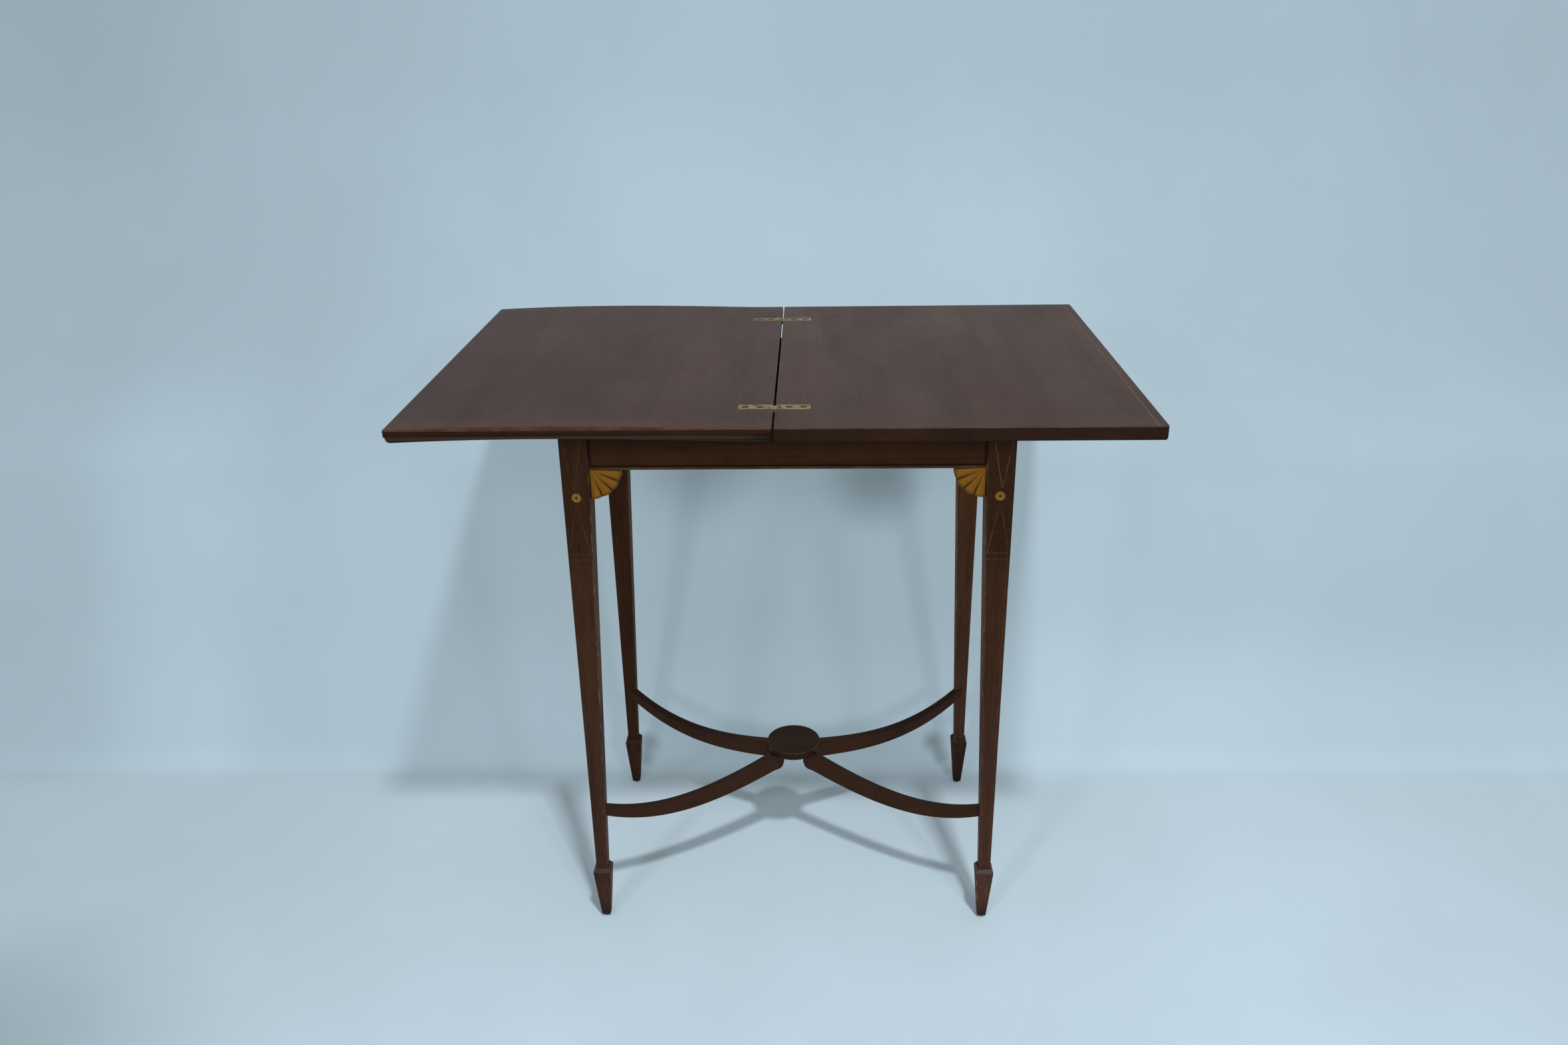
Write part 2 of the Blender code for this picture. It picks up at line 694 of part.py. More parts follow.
def add_disc(name, turns, wood):
    """The round disc, with a rounded rim and a blind hole for each arm's screw."""
    radius = DISC_DIAMETER / 2
    bevel = DISC_ROUND
    profile = [(0, DISC_UNDERSIDE)]
    profile += arc((radius - bevel, DISC_UNDERSIDE + bevel), bevel, -90, 0, 3)
    profile += arc((radius - bevel, DISC_HEIGHT - bevel), bevel, 0, 90, 3)
    profile += [(0, DISC_HEIGHT)]
    bm = bmesh.new()
    add_turned(bm, profile, ROUND_SIDES)
    disc = add_piece(name, bm, wood, (BASE_OFFSET, 0, 0), smooth=True)
    holes = bmesh.new()
    for turn in turns:
        across = STRETCHER_SCREW_PLACE * math.cos(turn)
        deep = STRETCHER_SCREW_PLACE * math.sin(turn)
        add_rod(
            holes,
            (across, deep, DISC_UNDERSIDE - CUT_OVERRUN),
            "Z",
            STRETCHER_SCREW_SHANK + 2 * CLEARANCE,
            CUT_OVERRUN + STRETCHER_SCREW_BITE + CLEARANCE,
        )
    cut(disc, add_cutter(name + "_holes", holes, (BASE_OFFSET, 0, 0)))


# Inside the frame

def add_bearer(name, wood):
    """The cross rail that carries the turning top, bored for the bolt."""
    bm = bmesh.new()
    add_box(bm, *bearer_box())
    bearer = add_piece(name, bm, wood)
    bore = bmesh.new()
    start = (PIVOT_X, PIVOT_Y, BEARER_BOTTOM - CUT_OVERRUN)
    add_rod(bore, start, "Z", BOLT_DIAMETER + 2 * CLEARANCE, BEARER_THICKNESS + 2 * CUT_OVERRUN)
    cut(bearer, add_cutter(name + "_bore", bore))


def add_partition(name, wood):
    """The upright wall between the card well and the pivot's side."""
    bm = bmesh.new()
    add_box(bm, *partition_box())
    add_piece(name, bm, wood)


def add_well_floor(name, wood):
    """The board at the bottom of the card well, notched round the two left legs."""
    bm = bmesh.new()
    add_box(bm, *well_floor_box())
    floor = add_piece(name, bm, wood)
    notches = bmesh.new()
    edge = LEG_TOP + CLEARANCE
    for end in ENDS.values():
        corner = leg_corner(SIDES["left"], end)
        deep = sorted((corner.y, corner.y - end * edge))
        low = (corner.x, deep[0], WELL_FLOOR_BOTTOM - CUT_OVERRUN)
        high = (corner.x + edge, deep[1], WELL_FLOOR_BOTTOM + WELL_FLOOR_THICKNESS + CUT_OVERRUN)
        add_box(notches, low, high)
    cut(floor, add_cutter(name + "_notches", notches))


def add_washer(name, steel):
    """The washer under the bearer. Heights are measured from the leaf's underside."""
    hole = BOLT_DIAMETER / 2 + CLEARANCE
    rim = WASHER_DIAMETER / 2
    high = BEARER_BOTTOM - CLEARANCE - LEAF_UNDERSIDE
    low = high - WASHER_THICKNESS
    bm = bmesh.new()
    add_turned(bm, [(rim, high), (rim, low), (hole, low), (hole, high)], PLATE_SIDES, ring=True)
    add_piece(name, bm, steel, (PIVOT_X, PIVOT_Y, LEAF_UNDERSIDE), smooth=True)


# Turning parts of the pivot

def add_pivot(swivel, leaf, wood, steel):
    """The plate, bolt, nut and stop peg, which turn with the lower leaf."""
    at = (PIVOT_X, PIVOT_Y, LEAF_UNDERSIDE)
    bolt = BOLT_DIAMETER / 2
    hole = bolt + CLEARANCE
    plate_rim = PIVOT_PLATE_DIAMETER / 2
    head_rim = BOLT_HEAD_DIAMETER / 2
    head_low = PIVOT_PLATE_THICKNESS + CLEARANCE
    head_high = head_low + BOLT_HEAD_THICKNESS
    nut_high = BEARER_BOTTOM - 2 * CLEARANCE - WASHER_THICKNESS - LEAF_UNDERSIDE
    nut_low = nut_high - NUT_HEIGHT
    bolt_low = nut_low - BOLT_TAIL

    plate = bmesh.new()
    add_turned(
        plate,
        [(plate_rim, PIVOT_PLATE_THICKNESS), (plate_rim, 0), (hole, 0), (hole, PIVOT_PLATE_THICKNESS)],
        PLATE_SIDES,
        ring=True,
    )
    add_piece("pivot_plate", plate, steel, at, swivel, smooth=True)

    shape = bmesh.new()
    add_turned(
        shape,
        [
            (0, head_high), (head_rim, head_high), (head_rim, head_low), (bolt, head_low),
            (bolt, bolt_low + CLEARANCE), (bolt - CLEARANCE, bolt_low), (0, bolt_low),
        ],
        ROD_SIDES,
    )
    add_piece("pivot_bolt", shape, steel, at, swivel, smooth=True)

    nut = bmesh.new()
    across_corners = NUT_WIDTH / math.cos(math.pi / 6)
    add_rod(nut, (0, 0, nut_low), "Z", across_corners, NUT_HEIGHT, 6)
    nut_piece = add_piece("pivot_nut", nut, steel, at, swivel)
    bore = bmesh.new()
    add_rod(bore, (0, 0, nut_low - CUT_OVERRUN), "Z", 2 * hole, NUT_HEIGHT + 2 * CUT_OVERRUN)
    cut(nut_piece, add_cutter("pivot_nut_bore", bore, at, swivel))

    recess = bmesh.new()
    wide = plate_rim + CLEARANCE
    narrow = head_rim + CLEARANCE
    add_turned(
        recess,
        [
            (0, head_high + CLEARANCE), (narrow, head_high + CLEARANCE), (narrow, head_low),
            (wide, head_low), (wide, -CUT_OVERRUN), (0, -CUT_OVERRUN),
        ],
        PLATE_SIDES,
    )
    cut(leaf, add_cutter("pivot_recess", recess, at, swivel))

    peg_at = (PEG_X, PEG_Y, LEAF_UNDERSIDE)
    radius = PEG_DIAMETER / 2
    peg = bmesh.new()
    profile = [(0, -PEG_DROP)] + arc((radius - TOP_ARRIS, TOP_ARRIS - PEG_DROP), TOP_ARRIS, -90, 0, 3)
    profile += [(radius, PEG_SEAT), (0, PEG_SEAT)]
    add_turned(peg, profile, ROD_SIDES)
    add_piece("stop_peg", peg, wood, peg_at, swivel, smooth=True)
    seat = bmesh.new()
    add_rod(seat, (0, 0, -CUT_OVERRUN), "Z", PEG_DIAMETER + 2 * CLEARANCE, CUT_OVERRUN + PEG_SEAT + CLEARANCE)
    cut(leaf, add_cutter("stop_peg_seat", seat, peg_at, swivel))


# Top

def square_edge():
    """The lower leaf's edge, from top to bottom, as inset and depth."""
    over = arc((TOP_ARRIS, TOP_ARRIS), TOP_ARRIS, 270, 180, 3)
    under = arc((UNDER_ARRIS, LEAF_THICKNESS - UNDER_ARRIS), UNDER_ARRIS, 180, 90, 3)
    return over + under


def moulded_edge():
    """The flap's edge as it lies open: a plain face, a small step and a quarter round that turns under."""
    over = arc((TOP_ARRIS, TOP_ARRIS), TOP_ARRIS, 270, 180, 3)
    sweep = (FLAP_MOULD - FLAP_STEP, LEAF_THICKNESS - FLAP_FACE)
    under = arc((FLAP_MOULD, FLAP_FACE), sweep, 180, 90, 6)
    return over + [(0, FLAP_FACE)] + under


def crown_at(distance):
    """How far the cupped flap rises at a distance from the joint. It is flat under the hinges."""
    share = max(0, distance - CROWN_START) / (LEAF_WIDTH - CROWN_START)
    peak = CROWN_LEAN_SHARE / (1 + CROWN_LEAN_SHARE)
    highest = peak ** CROWN_LEAN_SHARE * (1 - peak)
    return FLAP_CROWN * share ** CROWN_LEAN_SHARE * (1 - share) / highest


def leaf_columns(inset, crowned):
    """Where a leaf has a row of points, as the distance from the joint's edge and the inset at each end.

    The two outer corners are rounded, and the further a row lies inside the edge, the less they are.
    """
    inner = []
    if crowned:
        run = LEAF_WIDTH - CROWN_START
        inner = [(CROWN_START + run * strip / CROWN_STRIPS, inset) for strip in range(CROWN_STRIPS)]
    bend = max(LEAF_CORNER - inset, LEAF_CORNER_LEAST)
    corner = arc((LEAF_WIDTH - inset - bend, inset + bend), bend, 270, 360, 3)
    return [(inset, inset)] + inner + corner


def leaf_mesh(way, edge, crowned):
    """A leaf whose four edges follow one profile, about the joint's middle on the upper face."""
    bm = bmesh.new()
    rings = []
    for inset, depth in edge:
        rows = []
        for end in ENDS.values():
            row = []
            for distance, end_inset in leaf_columns(inset, crowned):
                rise = crown_at(distance) if crowned else 0
                spot = (way * (JOINT_GAP / 2 + distance), end * (LEAF_LENGTH / 2 - end_inset), rise - depth)
                row.append(bm.verts.new(spot))
            rows.append(row)
        rings.append(rows)
    for (front, back), (next_front, next_back) in zip(rings, rings[1:]):
        around = front + back[::-1]
        next_around = next_front + next_back[::-1]
        for here in range(len(around)):
            beside = (here + 1) % len(around)
            bm.faces.new((around[here], around[beside], next_around[beside], next_around[here]))
    for front, back in (rings[0], rings[-1]):
        for here in range(len(front) - 1):
            bm.faces.new((front[here], front[here + 1], back[here + 1], back[here]))
    return bm


def add_leaf(name, way, edge, crowned, wood, parent):
    """A leaf with the sinkings for two hinges and their screws."""
    at = (0, 0, TABLE_HEIGHT)
    leaf = add_piece(name, leaf_mesh(way, edge, crowned), wood, at, parent, smooth=True)
    deep = PIN_DEPTH + LINK_RADIUS + CLEARANCE
    shallow = HINGE_PLATE + CLEARANCE
    heel = KNUCKLE_END + CLEARANCE
    reach = HINGE_REACH + CLEARANCE
    outline = [
        (0, CUT_OVERRUN), (0, -deep), (heel, -deep), (heel, -shallow), (reach, -shallow), (reach, CUT_OVERRUN),
    ]
    outline = [(way * out, height) for out, height in outline]
    wide = HINGE_WIDTH + 2 * CLEARANCE
    sinkings = bmesh.new()
    holes = bmesh.new()
    for end in ENDS.values():
        add_prism(sinkings, outline, "Y", end * HINGE_Y - wide / 2, wide)
        for out in (HINGE_SCREW_NEAR, HINGE_SCREW_FAR):
            add_turned(holes, hinge_screw_profile(CLEARANCE), ROD_SIDES, at=(way * out, end * HINGE_Y))
    cut(leaf, add_cutter(name + "_hinge_sinkings", sinkings, at, parent))
    cut(leaf, add_cutter(name + "_screw_holes", holes, at, parent))
    return leaf


# Counter-flap hinges

def hinge_screw_profile(grow=0.0):
    """A countersunk screw from the top face down, or the hole that it needs."""
    head = HINGE_SCREW_HEAD / 2 + grow
    shank = HINGE_SCREW_SHANK / 2 + grow
    cone_end = HINGE_SCREW_RIM + (HINGE_SCREW_HEAD - HINGE_SCREW_SHANK) / 2 + grow
    top = CUT_OVERRUN if grow else 0
    return [
        (0, top), (head, top), (head, -HINGE_SCREW_RIM - grow), (shank, -cone_end),
        (shank, -(HINGE_SCREW_LENGTH - HINGE_SCREW_TIP)), (0, -HINGE_SCREW_LENGTH - grow),
    ]


def plate_outline(way):
    """A plate from the side: a flat leaf, and a deeper knuckle with a round nose about the pin."""
    centre = (HINGE_HALF_LINK, -PIN_DEPTH)
    lean = math.degrees(math.acos((PLATE_START - HINGE_HALF_LINK) / KNUCKLE_RADIUS))
    nose = arc(centre, KNUCKLE_RADIUS, 270, lean, 7)
    outline = [
        (PLATE_START, 0), (HINGE_REACH, 0), (HINGE_REACH, -HINGE_PLATE), (KNUCKLE_END, -HINGE_PLATE),
        (KNUCKLE_END, -PIN_DEPTH - KNUCKLE_RADIUS),
    ]
    return [(way * out, height) for out, height in outline + nose]


def add_hinge_leaf(prefix, way, hinge_y, parent, brass):
    """One plate with its slot, pin and two screws."""
    at = (0, 0, TABLE_HEIGHT)
    low = hinge_y - HINGE_WIDTH / 2
    bm = bmesh.new()
    add_prism(bm, plate_outline(way), "Y", low, HINGE_WIDTH)
    plate = add_piece(prefix + "_plate", bm, brass, at, parent, smooth=True)

    slot = bmesh.new()
    half_slot = LINK_WIDTH / 2 + CLEARANCE
    deep = PIN_DEPTH + LINK_RADIUS + CUT_OVERRUN
    across = sorted((0, way * SLOT_END))
    add_box(slot, (across[0], hinge_y - half_slot, -deep), (across[1], hinge_y + half_slot, CUT_OVERRUN))
    cut(plate, add_cutter(prefix + "_slot", slot, at, parent))

    holes = bmesh.new()
    bore = (way * HINGE_HALF_LINK, low - CUT_OVERRUN, -PIN_DEPTH)
    add_rod(holes, bore, "Y", PIN_DIAMETER + 2 * CLEARANCE, HINGE_WIDTH + 2 * CUT_OVERRUN, SMALL_SIDES)
    for out in (HINGE_SCREW_NEAR, HINGE_SCREW_FAR):
        add_turned(holes, hinge_screw_profile(CLEARANCE), ROD_SIDES, at=(way * out, hinge_y))
    cut(plate, add_cutter(prefix + "_holes", holes, at, parent))

    pin = bmesh.new()
    add_rod(pin, (0, -HINGE_WIDTH / 2, 0), "Y", PIN_DIAMETER, HINGE_WIDTH, SMALL_SIDES)
    pin_at = (way * HINGE_HALF_LINK, hinge_y, TABLE_HEIGHT - PIN_DEPTH)
    add_piece(prefix + "_pin", pin, brass, pin_at, parent, smooth=True)

    for place_name, out in (("near", HINGE_SCREW_NEAR), ("far", HINGE_SCREW_FAR)):
        screw = bmesh.new()
        add_turned(screw, hinge_screw_profile(), ROD_SIDES)
        screw_at = (way * out, hinge_y, TABLE_HEIGHT)
        piece = add_piece(f"{prefix}_{place_name}_screw", screw, brass, screw_at, parent, smooth=True)
        groove = bmesh.new()
        half = HINGE_SCREW_HEAD / 2 + CUT_OVERRUN
        add_box(groove, (-half, -SCREW_SLOT / 2, -SCREW_SLOT_DEPTH), (half, SCREW_SLOT / 2, CUT_OVERRUN))
        cut(piece, add_cutter(f"{prefix}_{place_name}_screw_slot", groove, screw_at, parent))


def add_link(name, hinge_y, parent, brass):
    """The link between the two pins: flat sides, round ends, flush with the leaves when they lie open."""
    ends = arc((HINGE_HALF_LINK, 0), LINK_RADIUS, -90, 90, 7)
    ends += arc((-HINGE_HALF_LINK, 0), LINK_RADIUS, 90, 270, 7)
    bm = bmesh.new()
    add_prism(bm, ends, "Y", -LINK_WIDTH / 2, LINK_WIDTH)
    at = (0, hinge_y, TABLE_HEIGHT - PIN_DEPTH)
    link = add_piece(name, bm, brass, at, parent, smooth=True)
    holes = bmesh.new()
    for way in (-1, 1):
        start = (way * HINGE_HALF_LINK, -LINK_WIDTH / 2 - CUT_OVERRUN, 0)
        add_rod(holes, start, "Y", PIN_DIAMETER + 2 * CLEARANCE, LINK_WIDTH + 2 * CUT_OVERRUN, SMALL_SIDES)
    cut(link, add_cutter(name + "_holes", holes, at, parent))


# The table

clear_scene()
FRAME_WOOD = new_finish("frame_mahogany", (0.042, 0.014, 0.006), 0.38)
TOP_WOOD = new_finish("top_mahogany", (0.085, 0.055, 0.050), 0.42)
INNER_WOOD = new_finish("inner_pine", (0.42, 0.27, 0.14), 0.65)
SATINWOOD = new_finish("satinwood", (0.27, 0.12, 0.02), 0.40)
BOXWOOD = new_finish("boxwood", (0.36, 0.20, 0.06), 0.40)
BRASS = new_finish("brass", (0.32, 0.25, 0.11), 0.42, 1.0)
STEEL = new_finish("steel", (0.22, 0.21, 0.20), 0.45, 1.0)

legs = {}
for end_name, end in ENDS.items():
    for side_name, side in SIDES.items():
        corner_name = f"{end_name}_{side_name}"
        legs[corner_name] = add_leg(f"leg_{corner_name}", side, end, FRAME_WOOD)
        add_glide(f"glide_{corner_name}", side, end, STEEL)

rail_cutters = add_rail_cutters()
across_cutters = list(rail_cutters.values())
for end_name, end in ENDS.items():
    add_rail(f"rail_{end_name}", "X", end, FRAME_WOOD, across_cutters)
    add_bead(f"bead_{end_name}", "X", end, FRAME_WOOD)
add_rail("rail_left", "Y", SIDES["left"], FRAME_WOOD, [rail_cutters["well_groove"]])
add_rail("rail_right", "Y", SIDES["right"], FRAME_WOOD, [])
for side_name, side in SIDES.items():
    add_bead(f"bead_{side_name}", "Y", side, FRAME_WOOD)
    add_fan(f"fan_bracket_{side_name}", side, SATINWOOD)
    add_roundel(f"roundel_{side_name}", side, legs[f"front_{side_name}"], BOXWOOD)

arm_turns = []
for end_name, end in ENDS.items():
    for side_name, side in SIDES.items():
        corner_name = f"{end_name}_{side_name}"
        arm_name = f"stretcher_arm_{corner_name}"
        arm_turns.append(add_arm(arm_name, side, end, legs[corner_name], FRAME_WOOD, STEEL))
add_disc("stretcher_disc", arm_turns, FRAME_WOOD)

add_bearer("pivot_bearer", INNER_WOOD)
add_partition("well_partition", INNER_WOOD)
add_well_floor("well_floor", INNER_WOOD)
add_washer("pivot_washer", STEEL)

swivel_axis = add_axis("swivel_axis", (PIVOT_X, PIVOT_Y, LEAF_UNDERSIDE))
pin_height = TABLE_HEIGHT - PIN_DEPTH
link_axis = add_axis("link_axis", (HINGE_HALF_LINK, 0, pin_height), swivel_axis)
flap_axis = add_axis("flap_axis", (-HINGE_HALF_LINK, 0, pin_height), link_axis)
lower_leaf = add_leaf("lower_leaf", 1, square_edge(), False, TOP_WOOD, swivel_axis)
add_leaf("flap", -1, moulded_edge(), True, TOP_WOOD, flap_axis)
add_pivot(swivel_axis, lower_leaf, FRAME_WOOD, STEEL)
for end_name, end in ENDS.items():
    hinge_y = end * HINGE_Y
    add_hinge_leaf(f"hinge_{end_name}_lower", 1, hinge_y, swivel_axis, BRASS)
    add_hinge_leaf(f"hinge_{end_name}_flap", -1, hinge_y, flap_axis, BRASS)
    add_link(f"hinge_{end_name}_link", hinge_y, link_axis, BRASS)
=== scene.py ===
"""A fold-over games table with a swivel top, opened flat, standing in a plain pale studio.

Metres, +Z up, the front towards -Y. Each section below is one piece of the table, in the order in which
the table is put together, with its sizes, its shape and its finish.
"""

import math

import bmesh
import bpy
import numpy as np
from mathutils import Matrix, Vector


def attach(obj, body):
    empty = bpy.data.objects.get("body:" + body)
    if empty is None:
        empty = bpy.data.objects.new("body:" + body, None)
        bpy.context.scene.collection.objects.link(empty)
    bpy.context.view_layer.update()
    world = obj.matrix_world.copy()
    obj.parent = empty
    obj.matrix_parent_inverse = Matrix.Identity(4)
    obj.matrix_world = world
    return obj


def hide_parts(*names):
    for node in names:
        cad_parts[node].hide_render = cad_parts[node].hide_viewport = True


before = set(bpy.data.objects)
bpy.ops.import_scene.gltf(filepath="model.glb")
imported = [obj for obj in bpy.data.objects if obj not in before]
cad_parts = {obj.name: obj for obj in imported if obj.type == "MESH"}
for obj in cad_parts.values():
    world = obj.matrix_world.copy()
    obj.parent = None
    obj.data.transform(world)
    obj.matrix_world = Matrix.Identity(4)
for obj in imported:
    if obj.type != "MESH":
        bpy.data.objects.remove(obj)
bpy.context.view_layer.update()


# Studio
# A sweep of pale blue paper bends up close behind the table and isn't seen from behind. Its tone carries
# painted shade and light: darker towards its edges and a front corner, painted shadows of the frame on
# the wall, under the table and round the back feet, a lighter low wall, a lighter upright band at the
# left, and painted fill light that the wall gives off for the camera alone. A small lamp stands high
# behind the camera, to its right, and two weak lamps stand lower, one at each side.

def add(tree, kind, inputs=None, **settings):
    """Puts a shader node in a tree. An input is a plain value, or another node's output, which is linked."""
    made = tree.nodes.new("ShaderNode" + kind)
    for setting, value in settings.items():
        setattr(made, setting, value)
    for key, value in (inputs or {}).items():
        if isinstance(value, bpy.types.NodeSocket):
            tree.links.new(value, made.inputs[key])
        else:
            made.inputs[key].default_value = value
    return made


def calc(tree, operation, first, second=0.0, third=0.0, clamp=False):
    """The outcome of a sum on numbers that change over the surface."""
    inputs = {0: first, 1: second, 2: third}
    return add(tree, "Math", inputs, operation=operation, use_clamp=clamp).outputs[0]


def times(tree, first, second):
    """The product of two numbers that change over the surface."""
    return calc(tree, "MULTIPLY", first, second)


def gap(tree, first, second):
    """How far two numbers lie apart, whichever is the larger."""
    return calc(tree, "ABSOLUTE", calc(tree, "SUBTRACT", first, second))


def calc_vector(tree, operation, inputs, output="Vector"):
    """The outcome of a sum on places or directions."""
    return add(tree, "VectorMath", inputs, operation=operation).outputs[output]


def axes(tree, place):
    """How far a place lies along X, Y and Z."""
    return add(tree, "SeparateXYZ", {0: place}).outputs


def fade(tree, value, low, high, at_low=0.0, at_high=1.0):
    """A smooth change from one value at the low limit to another at the high limit."""
    inputs = {"Value": value, "From Min": low, "From Max": high, "To Min": at_low, "To Max": at_high}
    return add(tree, "MapRange", inputs, interpolation_type="SMOOTHSTEP").outputs["Result"]


def mix(tree, share, first, second, blend="MIX"):
    """One colour laid over another by a share from 0 to 1."""
    made = add(tree, "Mix", {0: share, 6: first, 7: second}, data_type="RGBA", blend_type=blend)
    return made.outputs[2]


def dimmed(tree, tone, level):
    """A tone made darker or lighter by a number that changes over the surface."""
    grey = add(tree, "CombineColor", {0: level, 1: level, 2: level}).outputs[0]
    return mix(tree, 1.0, tone, grey, "MULTIPLY")


def noise(tree, vector, stretch, detail=2.0, roughness=0.5):
    """Soft noise from 0 to 1, with this many waves to the metre along X, Y and Z."""
    scaled = calc_vector(tree, "MULTIPLY", {0: vector, 1: stretch})
    inputs = {"Vector": scaled, "Scale": 1.0, "Detail": detail, "Roughness": roughness}
    return add(tree, "TexNoise", inputs).outputs[0]


def new_finish(name, roughness, gloss=0.5, metallic=0.0):
    """An empty Principled material: its tree, its shader, and the place on the surface in metres."""
    made = bpy.data.materials.new(name)
    made.use_nodes = True
    tree = made.node_tree
    shader = tree.nodes["Principled BSDF"]
    for key, value in (("Roughness", roughness), ("Specular IOR Level", gloss), ("Metallic", metallic)):
        shader.inputs[key].default_value = value
    place = add(tree, "TexCoord").outputs["Object"]
    return made, tree, shader, place


def smoothed(name, mesh, finish, sharp):
    """A piece with this mesh. Points that coincide are merged, and the faces are shaded smooth, except
    across edges that turn by more than the sharp angle in degrees.
    """
    shell = bmesh.new()
    shell.from_mesh(mesh)
    bmesh.ops.remove_doubles(shell, verts=shell.verts, dist=0.000002)
    bmesh.ops.recalc_face_normals(shell, faces=shell.faces)
    shell.to_mesh(mesh)
    shell.free()
    mesh.shade_smooth()
    mesh.set_sharp_from_angle(angle=math.radians(sharp))
    mesh.materials.clear()
    mesh.materials.append(finish)
    piece = bpy.data.objects.new(name, mesh)
    bpy.context.scene.collection.objects.link(piece)
    return piece


def skin(name, grids, finish, sharp=35.0, uv=None, arris=None):
    """A piece with a mesh over grids of points, each of rows by columns by 3.

    Neighbours in a grid are joined by four-sided faces. A grid whose last column repeats its first is a
    tube, and a row that lies in one point closes an end.
    """
    points = []
    faces = []
    start = 0
    for grid in grids:
        rows, columns = grid.shape[:2]
        index = start + np.arange(rows * columns).reshape(rows, columns)
        corners = (index[:-1, :-1], index[:-1, 1:], index[1:, 1:], index[1:, :-1])
        faces.append(np.stack(corners, axis=-1).reshape(-1, 4))
        points.append(grid.reshape(-1, 3))
        start += rows * columns
    points = np.concatenate(points)
    faces = np.concatenate(faces)
    mesh = bpy.data.meshes.new(name)
    mesh.from_pydata(points.tolist(), [], faces.tolist())
    if uv is not None:
        layer = mesh.uv_layers.new(name="surface")
        spread = np.concatenate([part.reshape(-1, 2) for part in uv])
        layer.data.foreach_set("uv", spread[faces.ravel()].ravel())
    if arris is not None:
        worn = mesh.attributes.new("arris", "FLOAT", "POINT")
        worn.data.foreach_set("value", np.concatenate([part.ravel() for part in arris]))
    return smoothed(name, mesh, finish, sharp)


sweep_near = -6.0
sweep_bend = 0.172
sweep_half_width = 5.0
sweep_lengths = (0.0, 0.05, 0.50, 0.57, 0.85, 1.25, 5.0)
sweep_slopes = (0.0, 69.5, 69.5, 38.0, 38.0, 86.0, 86.0)
sweep_run = np.concatenate([np.linspace(0.0, 1.3, 131), [4.8]])
sweep_step = np.diff(sweep_run)
sweep_middle = (sweep_run[:-1] + sweep_run[1:]) / 2
sweep_slope = np.radians(np.interp(sweep_middle, sweep_lengths, sweep_slopes))
sweep_y = np.cumsum(np.concatenate([[sweep_near, sweep_bend - sweep_near], sweep_step * np.cos(sweep_slope)]))
sweep_z = np.cumsum(np.concatenate([[0.0, 0.0], sweep_step * np.sin(sweep_slope)]))
sweep_x = np.linspace(-sweep_half_width, sweep_half_width, 9)
sweep_points = np.zeros((len(sweep_y), len(sweep_x), 3))
sweep_points[..., 0] = sweep_x[None, :]
sweep_points[..., 1] = sweep_y[:, None]
sweep_points[..., 2] = sweep_z[:, None]

paper, tree, shader, place = new_finish("studio_paper", 0.9, 0.1)
parts = axes(tree, place)
wall = fade(tree, parts["Y"], 0.118, 0.205)
# Painted shade: the paper grows darker towards its sides and its top.
painted_light_and_mottle = fade(tree, parts["X"], -1.15, -0.30, 0.85, 1.0)
painted_light_and_mottle = times(tree, painted_light_and_mottle, fade(tree, parts["X"], 0.40, 1.40, 1.0, 0.92))
painted_light_and_mottle = times(tree, painted_light_and_mottle, fade(tree, parts["Z"], 0.75, 1.9, 1.0, 0.92))
painted_light_and_mottle = times(tree, painted_light_and_mottle, fade(tree, parts["Z"], 0.45, 0.62, 1.0, 0.94))
# Painted light: the low wall is made lighter, more so at the right.
painted_low_light = times(tree, wall, fade(tree, parts["Z"], 0.05, 0.26, 1.0, 0.0))
painted_low_light = times(tree, painted_low_light, fade(tree, parts["X"], -0.75, 0.60, 0.05, 0.14))
painted_light_and_mottle = times(tree, painted_light_and_mottle, calc(tree, "ADD", painted_low_light, 1.0))
# Painted shade: the paper under the table, between the back feet, is made darker.
between_feet = 0.01
painted_shade_under_table = fade(tree, gap(tree, parts["X"], between_feet), 0.20, 0.29, 1.0, 0.0)
painted_shade_under_table = times(tree, painted_shade_under_table, fade(tree, parts["Y"], 0.10, 0.17))
painted_shade_under_table = times(tree, painted_shade_under_table, fade(tree, parts["Z"], 0.02, 0.08, 1.0, 0.0))
painted_light_and_mottle = times(tree, painted_light_and_mottle, calc(tree, "MULTIPLY_ADD", painted_shade_under_table, -0.14, 1.0))
# Painted shadows: two soft patches where the frame's shadows fall on the wall, and three spots by each back
# foot.
for shade_place, shade_low, shade_high, shade_tone in (
    ((-0.139, 0.372, 0.462), 0.010, 0.140, 0.73), ((0.139, 0.367, 0.438), 0.010, 0.112, 0.57),
    ((-0.231, 0.213, 0.034), 0.003, 0.026, 0.66), ((0.235, 0.214, 0.035), 0.003, 0.026, 0.60),
    ((-0.237, 0.201, 0.012), 0.002, 0.022, 0.66), ((0.247, 0.203, 0.014), 0.002, 0.022, 0.68),
    ((-0.242, 0.179, 0.001), 0.002, 0.016, 0.84), ((0.259, 0.183, 0.002), 0.002, 0.018, 0.80),
):
    near = calc_vector(tree, "DISTANCE", {0: place, 1: shade_place}, "Value")
    painted_light_and_mottle = times(tree, painted_light_and_mottle, fade(tree, near, shade_low, shade_high, shade_tone, 1.0))
